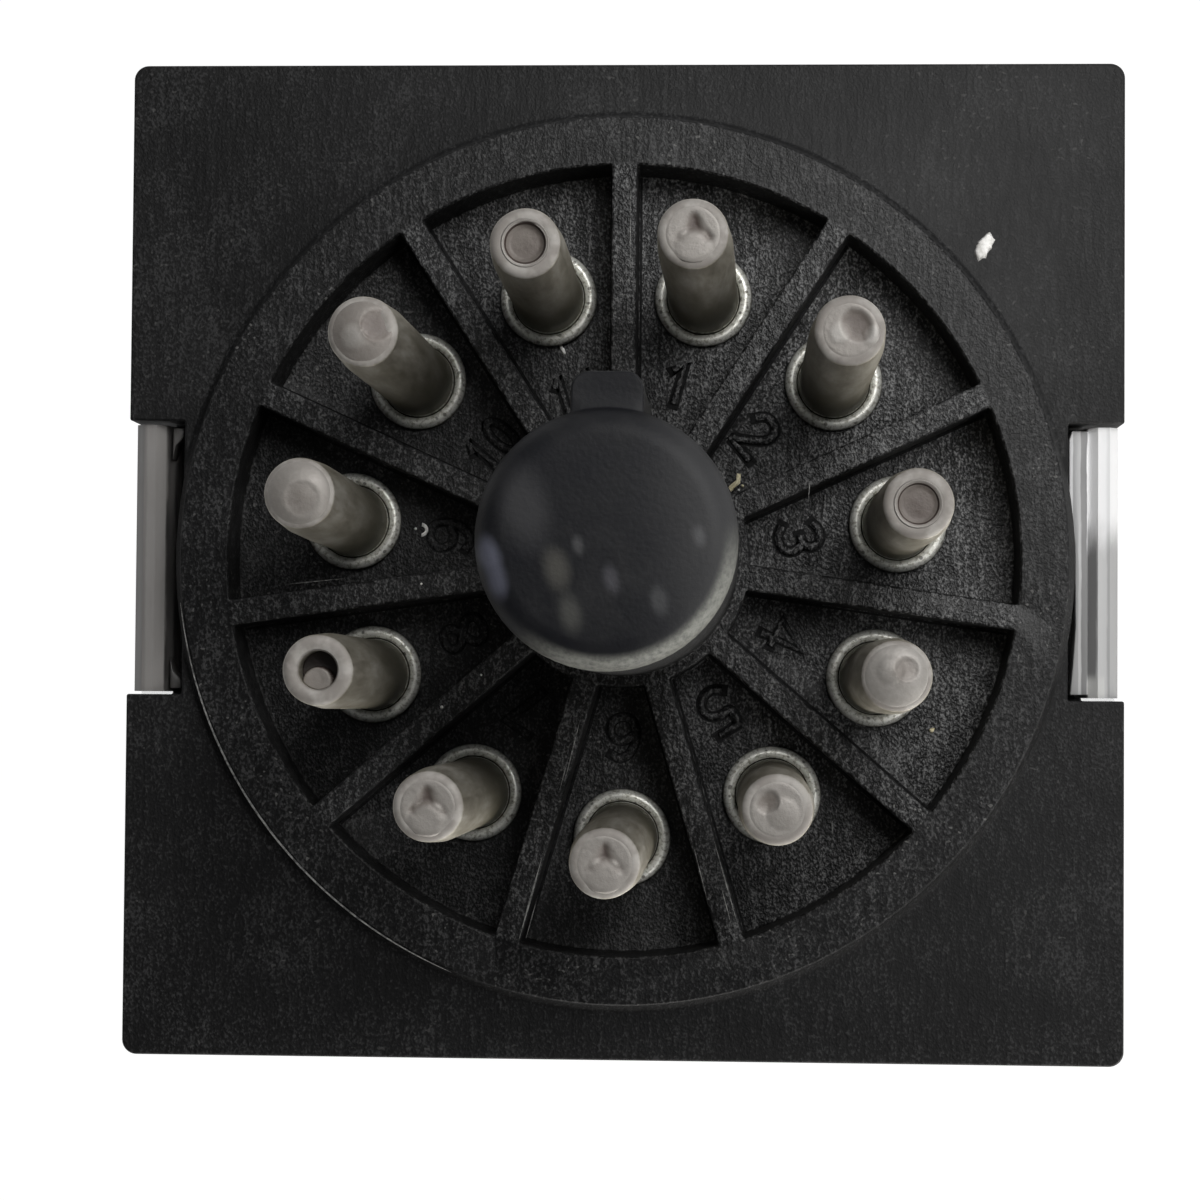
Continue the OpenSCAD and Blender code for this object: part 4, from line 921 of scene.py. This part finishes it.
def solder_mesh():
    bm = bmesh.new()
    tone = bm.verts.layers.float.new("tone")
    rng = random.Random(7)
    sides, rows = 44, 16
    wall = BORE_R - 0.01
    for n in range(1, PINS + 1):
        cx, cy = pin_centre(n)
        proud = n != 8
        reach = DOME_R if n in DOMED else DISH if n in DISHED else FILM if proud else wall
        phase = rng.uniform(0, 6)

        def vertex(r, a):
            x, y = r * reach * math.cos(a), r * reach * math.sin(a)
            height, shade = tip_shape(n, x, y)
            height += 0.01 * math.sin(7 * x + phase) * math.cos(6 * y + phase) * (1 - r)
            made = bm.verts.new(((cx + x) * MM, (cy + y) * MM, (PIN_TOP + height) * MM))
            made[tone] = shade
            return made

        middle = vertex(0, 0)
        rings = [[vertex(k / rows, 2 * math.pi * j / sides) for j in range(sides)] for k in range(1, rows + 1)]
        depth = PIN_TOP - 1.4
        foot = []
        for z in ([PIN_TOP - 0.06, depth] if proud else [depth]):
            line = []
            for j in range(sides):
                a = 2 * math.pi * j / sides
                made = bm.verts.new(((cx + wall * math.cos(a)) * MM, (cy + wall * math.sin(a)) * MM, z * MM))
                made[tone] = 0.2
                line.append(made)
            foot.append(line)
        for j in range(sides):
            k = (j + 1) % sides
            bm.faces.new((middle, rings[0][j], rings[0][k]))
            for a, b in zip(rings, rings[1:]):
                bm.faces.new((a[j], b[j], b[k], a[k]))
            lines = [rings[-1], *foot]
            for a, b in zip(lines, lines[1:]):
                bm.faces.new((a[j], b[j], b[k], a[k]))
        bm.faces.new(list(reversed(foot[-1])))
    bmesh.ops.recalc_face_normals(bm, faces=bm.faces)
    return bm


joints = to_object("solder_tips", solder_mesh(), [skin])
leaning(joints.data)
place_piece(joints, "solder", "solder_joints")

# ---- Cover ----

cover = to_object("cover", copy_of("cover"), [clear_wall, latch])
for face in cover.data.polygons:
    if face.center.z > (FLANGE_Z - 1.2) * MM:
        face.material_index = 1
shade_by_angle(cover.data)
place_piece(cover, "cover_clear", "cover")


def prism(bm, outline, low, high):
    """A closed prism over an outline of x, y points, between two heights, in millimetres."""
    floor_ring = [bm.verts.new((x * MM, y * MM, low * MM)) for x, y in outline]
    top_ring = [bm.verts.new((x * MM, y * MM, high * MM)) for x, y in outline]
    bm.faces.new(list(reversed(floor_ring)))
    bm.faces.new(top_ring)
    for k in range(len(outline)):
        nxt = (k + 1) % len(outline)
        bm.faces.new((floor_ring[k], floor_ring[nxt], top_ring[nxt], top_ring[k]))


LATCH_HALF = 4.5
LATCH_LOW = 50.9
bm = bmesh.new()
prism(bm, [(15.24, -LATCH_HALF), (15.84, -LATCH_HALF), (15.84, LATCH_HALF), (15.3, LATCH_HALF),
           (15.2, LATCH_HALF - 0.3), (15.2, 2.2), (15.4, 0.6), (15.42, -2.2), (15.34, -3.4)], LATCH_LOW, 51.95)
for side in (-1, 1):
    prism(bm, [(-15.2, side * LATCH_HALF), (-15.6, side * LATCH_HALF), (-15.62, side * (LATCH_HALF - 1.1)),
               (-15.5, side * (LATCH_HALF - 0.6)), (-15.24, side * (LATCH_HALF - 0.32))], LATCH_LOW, 51.9)
bmesh.ops.recalc_face_normals(bm, faces=bm.faces)
inner_latch = soften(to_object("latch_inner", bm, [latch]), 0.04)
place_piece(inner_latch, "cover_clear")

# ---- Marks: what has stuck to the base, and scuffs ----


def blot(bm, cx, cy, z, points, height, seed, sides=14):
    """A small low lump with a ragged edge, on an outline of radius at angle."""
    rng = random.Random(seed)
    rim, crown = [], []
    for k in range(sides):
        a = 2 * math.pi * k / sides
        r = sum(size * max(0.0, math.cos(a - turn)) ** power for size, turn, power in points)
        r *= rng.uniform(0.82, 1.15)
        rim.append(bm.verts.new(((cx + r * math.cos(a)) * MM, (cy + r * math.sin(a)) * MM, (z - 0.02) * MM)))
        crown.append(bm.verts.new(((cx + r * 0.62 * math.cos(a)) * MM, (cy + r * 0.62 * math.sin(a)) * MM,
                                   (z + height * rng.uniform(0.7, 1.1)) * MM)))
    top = bm.verts.new((cx * MM, cy * MM, (z + height * 1.05) * MM))
    for k in range(sides):
        nxt = (k + 1) % sides
        bm.faces.new((rim[k], rim[nxt], crown[nxt], crown[k]))
        bm.faces.new((crown[k], crown[nxt], top))
    bm.faces.new(list(reversed(rim)))


ROUND = [(0.1, 0, 0)]
bm = bmesh.new()
blot(bm, 12.25, 10.76, FLANGE_Z, [(0.27, 0, 0), (0.26, 0.9, 5), (0.28, 4.05, 9), (0.2, 4.6, 16)], 0.1, 3, 26)
blot(bm, -2.19, 7.37, FLOOR_Z, [(0.07, 0, 0), (0.13, 2.1, 4), (0.13, 5.2, 4)], 0.06, 5)
blot(bm, 10.05, -1.36, FLOOR_Z, ROUND, 0.08, 6, 10)
blot(bm, 3.95, 2.52, FLOOR_Z, [(0.06, 0, 0)], 0.08, 8, 8)
hook = [(0.25 * math.cos(math.radians(a)), 0.25 * math.sin(math.radians(a))) for a in range(80, -91, -17)]
hook += [(0.14 * math.cos(math.radians(a)), 0.12 * math.sin(math.radians(a))) for a in range(-80, 81, 20)]
prism(bm, [(u - 7.08, v + 1.08) for u, v in hook], FLOOR_Z - 0.02, FLOOR_Z + 0.06)
blot(bm, -7.28, 1.12, FLOOR_Z, [(0.06, 0, 0)], 0.05, 13, 8)
blot(bm, -6.81, -0.89, RING_Z, [(0.05, 0, 0)], 0.03, 14, 7)
blot(bm, -6.07, -5.07, RING_Z, [(0.06, 0, 0)], 0.03, 15, 7)
blot(bm, -4.74, -3.97, RING_Z, [(0.05, 0, 0)], 0.03, 16, 7)
bmesh.ops.recalc_face_normals(bm, faces=bm.faces)
chips = to_object("white_chips", bm, [chalk("chip_white", (0.62, 0.61, 0.58), (0.86, 0.85, 0.83))])
place_piece(chips, "base_moulding")

bm = bmesh.new()
prism(bm, [(3.4, 2.2), (3.56, 2.28), (3.8, 2.56), (4.0, 2.72), (4.02, 3.04), (3.88, 3.06), (3.86, 2.82),
           (3.62, 2.62), (3.42, 2.34)], FLOOR_Z + 0.35, FLOOR_Z + 0.5)
blot(bm, 4.08, 2.66, FLOOR_Z, [(0.07, 0, 0)], 0.1, 9, 8)
blot(bm, 10.62, -5.75, FLOOR_Z, [(0.09, 0, 0), (0.06, 0.4, 4)], 0.08, 11, 10)
bmesh.ops.recalc_face_normals(bm, faces=bm.faces)
slivers = to_object("yellow_slivers", bm, [chalk("sliver_yellow", (0.4, 0.35, 0.2), (0.66, 0.6, 0.42))])
place_piece(slivers, "base_moulding")


def scuff(bm, start, end, width, z):
    """A hair-thin raised scratch between two points."""
    a, b = Vector(start), Vector(end)
    along = (b - a).normalized()
    side = Vector((-along.y, along.x)) * width / 2
    middle = a.lerp(b, 0.45)
    prism(bm, [tuple(p) for p in (a, middle - side, b, middle + side)], z - 0.02, z + 0.008)


bm = bmesh.new()
for start, end, width, z in (
        ((-1.88, -7.58), (-1.34, -5.35), 0.045, RING_Z), ((-3.4, -13.0), (-2.55, -9.86), 0.07, RING_Z),
        ((-2.05, -7.9), (-1.75, -6.7), 0.03, RING_Z), ((-3.15, -12.9), (-2.75, -11.4), 0.035, RING_Z),
        ((3.14, -9.34), (4.09, -12.62), 0.05, RING_Z), ((2.5, -9.7), (3.0, -11.6), 0.035, RING_Z),
        ((3.4, -10.9), (3.86, -12.6), 0.03, RING_Z), ((7.22, -8.85), (7.26, -9.4), 0.05, FLOOR_Z),
        ((-11.6, -0.95), (-9.4, -0.72), 0.035, RING_Z), ((0.22, 9.4), (0.2, 12.9), 0.03, RING_Z),
        ((6.3, 1.95), (6.36, 2.75), 0.04, RING_Z)):
    scuff(bm, start, end, width, z)
bmesh.ops.recalc_face_normals(bm, faces=bm.faces)
edge = [(RING_R + 0.035, a, 0.06 * math.sin(math.pi * (a - 186) / 62) ** 0.5) for a in range(186, 249, 2)]
for (r0, a0, w0), (r1, a1, w1) in zip(edge, edge[1:]):
    corners = []
    for r, a, width in ((r0, a0, 0), (r1, a1, 0), (r1, a1, w1 + 0.002), (r0, a0, w0 + 0.002)):
        corners.append(((r - width) * math.cos(math.radians(a)), (r - width) * math.sin(math.radians(a))))
    prism(bm, corners, RING_Z - 0.05, RING_Z + 0.006)
bmesh.ops.recalc_face_normals(bm, faces=bm.faces)
scuffs = to_object("scuffs", bm, [chalk("scuff_pale", (0.06, 0.06, 0.06), (0.26, 0.26, 0.25))], smooth=False)
place_piece(scuffs, "base_moulding")

# ---- Works inside: better finishes on the CAD nodes ----

def finish_nodes(material, *nodes):
    for node in nodes:
        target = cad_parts[node]
        for place in target.material_slots:
            place.material = material


steel = metal("yoke_plated", (0.42, 0.43, 0.44), (0.62, 0.63, 0.63), 0.34, 0.9, (1, 1, 0.12), (0.5, 0.44, 0.3), 0.4)
finish_nodes(steel, "yoke")
finish_nodes(metal("armature_plated", (0.4, 0.41, 0.42), (0.6, 0.61, 0.61), 0.3, 0.9, (0.12, 1, 1)), "armature")
finish_nodes(metal("core_iron", (0.33, 0.34, 0.35), (0.55, 0.55, 0.56), 0.36, 0.9, (0.2, 1, 1)), "core")
finish_nodes(plastic("bobbin_nylon", (0.62, 0.58, 0.47), (0.78, 0.75, 0.64), 0.4), "bobbin")
finish_nodes(enamelled(), "winding")
finish_nodes(film(), "coil_tape")
finish_nodes(metal("terminal_tinned", (0.42, 0.4, 0.37), (0.66, 0.65, 0.61), 0.34, 0.85), "coil_terminals")
finish_nodes(plastic("carrier_nylon", (0.5, 0.47, 0.38), (0.68, 0.65, 0.55), 0.42), "contact_carrier")
finish_nodes(metal("rivet_plated", (0.5, 0.49, 0.46), (0.72, 0.71, 0.68), 0.28, 0.9), "carrier_rivets")
finish_nodes(metal("leaf_bronze", (0.5, 0.3, 0.12), (0.76, 0.52, 0.24), 0.26),
             "moving_leaf_left", "moving_leaf_middle", "moving_leaf_right")
finish_nodes(metal("contact_silver", (0.6, 0.59, 0.56), (0.86, 0.85, 0.83), 0.24, 0.95, (1, 1, 1),
                   (0.32, 0.27, 0.2), 0.5), "moving_contacts", "fixed_contacts")
finish_nodes(plastic("block_phenolic", (0.016, 0.013, 0.011), (0.04, 0.033, 0.028), 0.42, (0.14, 0.11, 0.08)),
             "contact_block")
finish_nodes(metal("strip_brass", (0.46, 0.3, 0.1), (0.74, 0.55, 0.24), 0.28),
             "closed_strip_left", "closed_strip_middle", "closed_strip_right",
             "open_strip_left", "open_strip_middle", "open_strip_right")
finish_nodes(metal("screw_plated", (0.45, 0.45, 0.44), (0.7, 0.7, 0.68), 0.26, 0.95, (1, 1, 1)),
             "yoke_screws", "block_screws")

red = plastic("lead_red", (0.3, 0.02, 0.015), (0.45, 0.04, 0.025), 0.4)
blue = plastic("lead_blue", (0.02, 0.06, 0.22), (0.035, 0.1, 0.36), 0.4)
yellow = plastic("lead_yellow", (0.6, 0.4, 0.05), (0.76, 0.54, 0.1), 0.4)
copper = braided()
spring_steel = metal("spring_steel", (0.45, 0.45, 0.44), (0.72, 0.72, 0.7), 0.24)

WIRE_R = 0.4
SPRING_WIRE_R = 0.2

for node, name, material, slot in (
        ("closed_leads", "leads_closed", red, "closed_lead"), ("open_leads", "leads_open", blue, "open_lead"),
        ("coil_leads", "leads_coil", yellow, "coil_lead")):
    place_piece(smooth_wire(node, name, material, WIRE_R), slot, node)
for side in ("left", "middle", "right"):
    low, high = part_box("braid_" + side)
    made = baked(smooth_wire("braid_" + side, "braid_copper_" + side, copper, WIRE_R))
    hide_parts("braid_" + side)
    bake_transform(made)
low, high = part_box("return_spring")
spring = baked(smooth_wire("return_spring", "spring_wound", spring_steel, SPRING_WIRE_R))
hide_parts("return_spring")
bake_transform(spring)

# ---- Floor, light and camera ----

bm = bmesh.new()
bmesh.ops.create_grid(bm, x_segments=1, y_segments=1, size=3.0)
floor = to_object("floor", bm, [floor_white()])

SKY_SLANT = (-0.5, 0.7, 0.08, 0.65)  # a sky that is brighter towards the upper right
SKY_TOP = (0.86, 0.95, 1.0, 0.3)  # and dim straight overhead
world = bpy.data.worlds.new("studio")
bpy.context.scene.world = world
world.use_nodes = True
tree = world.node_tree
tree.nodes.clear()
path = tree.nodes.new("ShaderNodeLightPath")
most = tree.nodes.new("ShaderNodeMath")
most.operation = "MAXIMUM"
join(path, "Is Camera Ray", most, 0)
join(path, "Is Transmission Ray", most, 1)
plain, seen = tree.nodes.new("ShaderNodeBackground"), tree.nodes.new("ShaderNodeBackground")
plain.inputs["Color"].default_value = (0.98, 0.99, 1, 1)
seen.inputs["Color"].default_value = (1, 1, 1, 1)
seen.inputs["Strength"].default_value = 1.15
heading = tree.nodes.new("ShaderNodeTexCoord")
split = tree.nodes.new("ShaderNodeSeparateXYZ")
side = tree.nodes.new("ShaderNodeVectorMath")
side.operation = "DOT_PRODUCT"
side.inputs[1].default_value = (0.68, 0.73, 0)
slant, top, product = (tree.nodes.new(kind) for kind in ("ShaderNodeMapRange", "ShaderNodeMapRange", "ShaderNodeMath"))
join(heading, "Generated", split, 0)
join(heading, "Generated", side, 0)
join(side, "Value", slant, "Value")
join(split, "Z", top, "Value")
for node, bounds in ((slant, SKY_SLANT), (top, SKY_TOP)):
    node.interpolation_type = "SMOOTHSTEP"
    for key, value in zip(("From Min", "From Max", "To Min", "To Max"), bounds):
        node.inputs[key].default_value = value
product.operation = "MULTIPLY"
join(slant, 0, product, 0)
join(top, 0, product, 1)
join(product, 0, plain, "Strength")
both, end = tree.nodes.new("ShaderNodeMixShader"), tree.nodes.new("ShaderNodeOutputWorld")
join(most, 0, both, 0)
join(plain, 0, both, 1)
join(seen, 0, both, 2)
join(both, 0, end, 0)


def lamp(name, place, aim, size, power, colour=(1, 1, 1), tall=None):
    light = bpy.data.lights.new(name, "AREA")
    light.shape = "RECTANGLE"
    light.size = size
    light.size_y = tall or size
    light.energy = power
    light.color = colour
    made = bpy.data.objects.new(name, light)
    made.location = place
    made.rotation_euler = (Vector(aim) - Vector(place)).to_track_quat("-Z", "Y").to_euler()
    made.visible_camera = False
    bpy.context.scene.collection.objects.link(made)


lamp("key", (0.039, 0.045, 0.153), (0.002, 0.002, 0.053), 0.06, 0.098, (1, 0.995, 0.985))
lamp("low", (0.078, -0.132, 0.012), (0, 0, 0.058), 0.3, 0.72, (1, 0.98, 0.94), tall=0.11)
lamp("side", (0.147, -0.123, 0.21), (0, 0, 0.052), 0.08, 0.13, (1, 0.99, 0.97))

camera_data = bpy.data.cameras.new("camera")
camera_data.lens = 87.78
camera_data.sensor_width = 36
camera_data.clip_start = 0.005
camera = bpy.data.objects.new("camera", camera_data)
turn = (Matrix.Rotation(math.radians(0.44), 4, "Z") @ Matrix.Rotation(math.radians(2.66), 4, "Y")
        @ Matrix.Rotation(math.radians(1.99), 4, "X"))
camera.matrix_world = Matrix.Translation((0.0039, -0.00481, 0.15208)) @ turn
bpy.context.scene.collection.objects.link(camera)
bpy.context.scene.camera = camera
bpy.context.scene.view_settings.view_transform = "Standard"
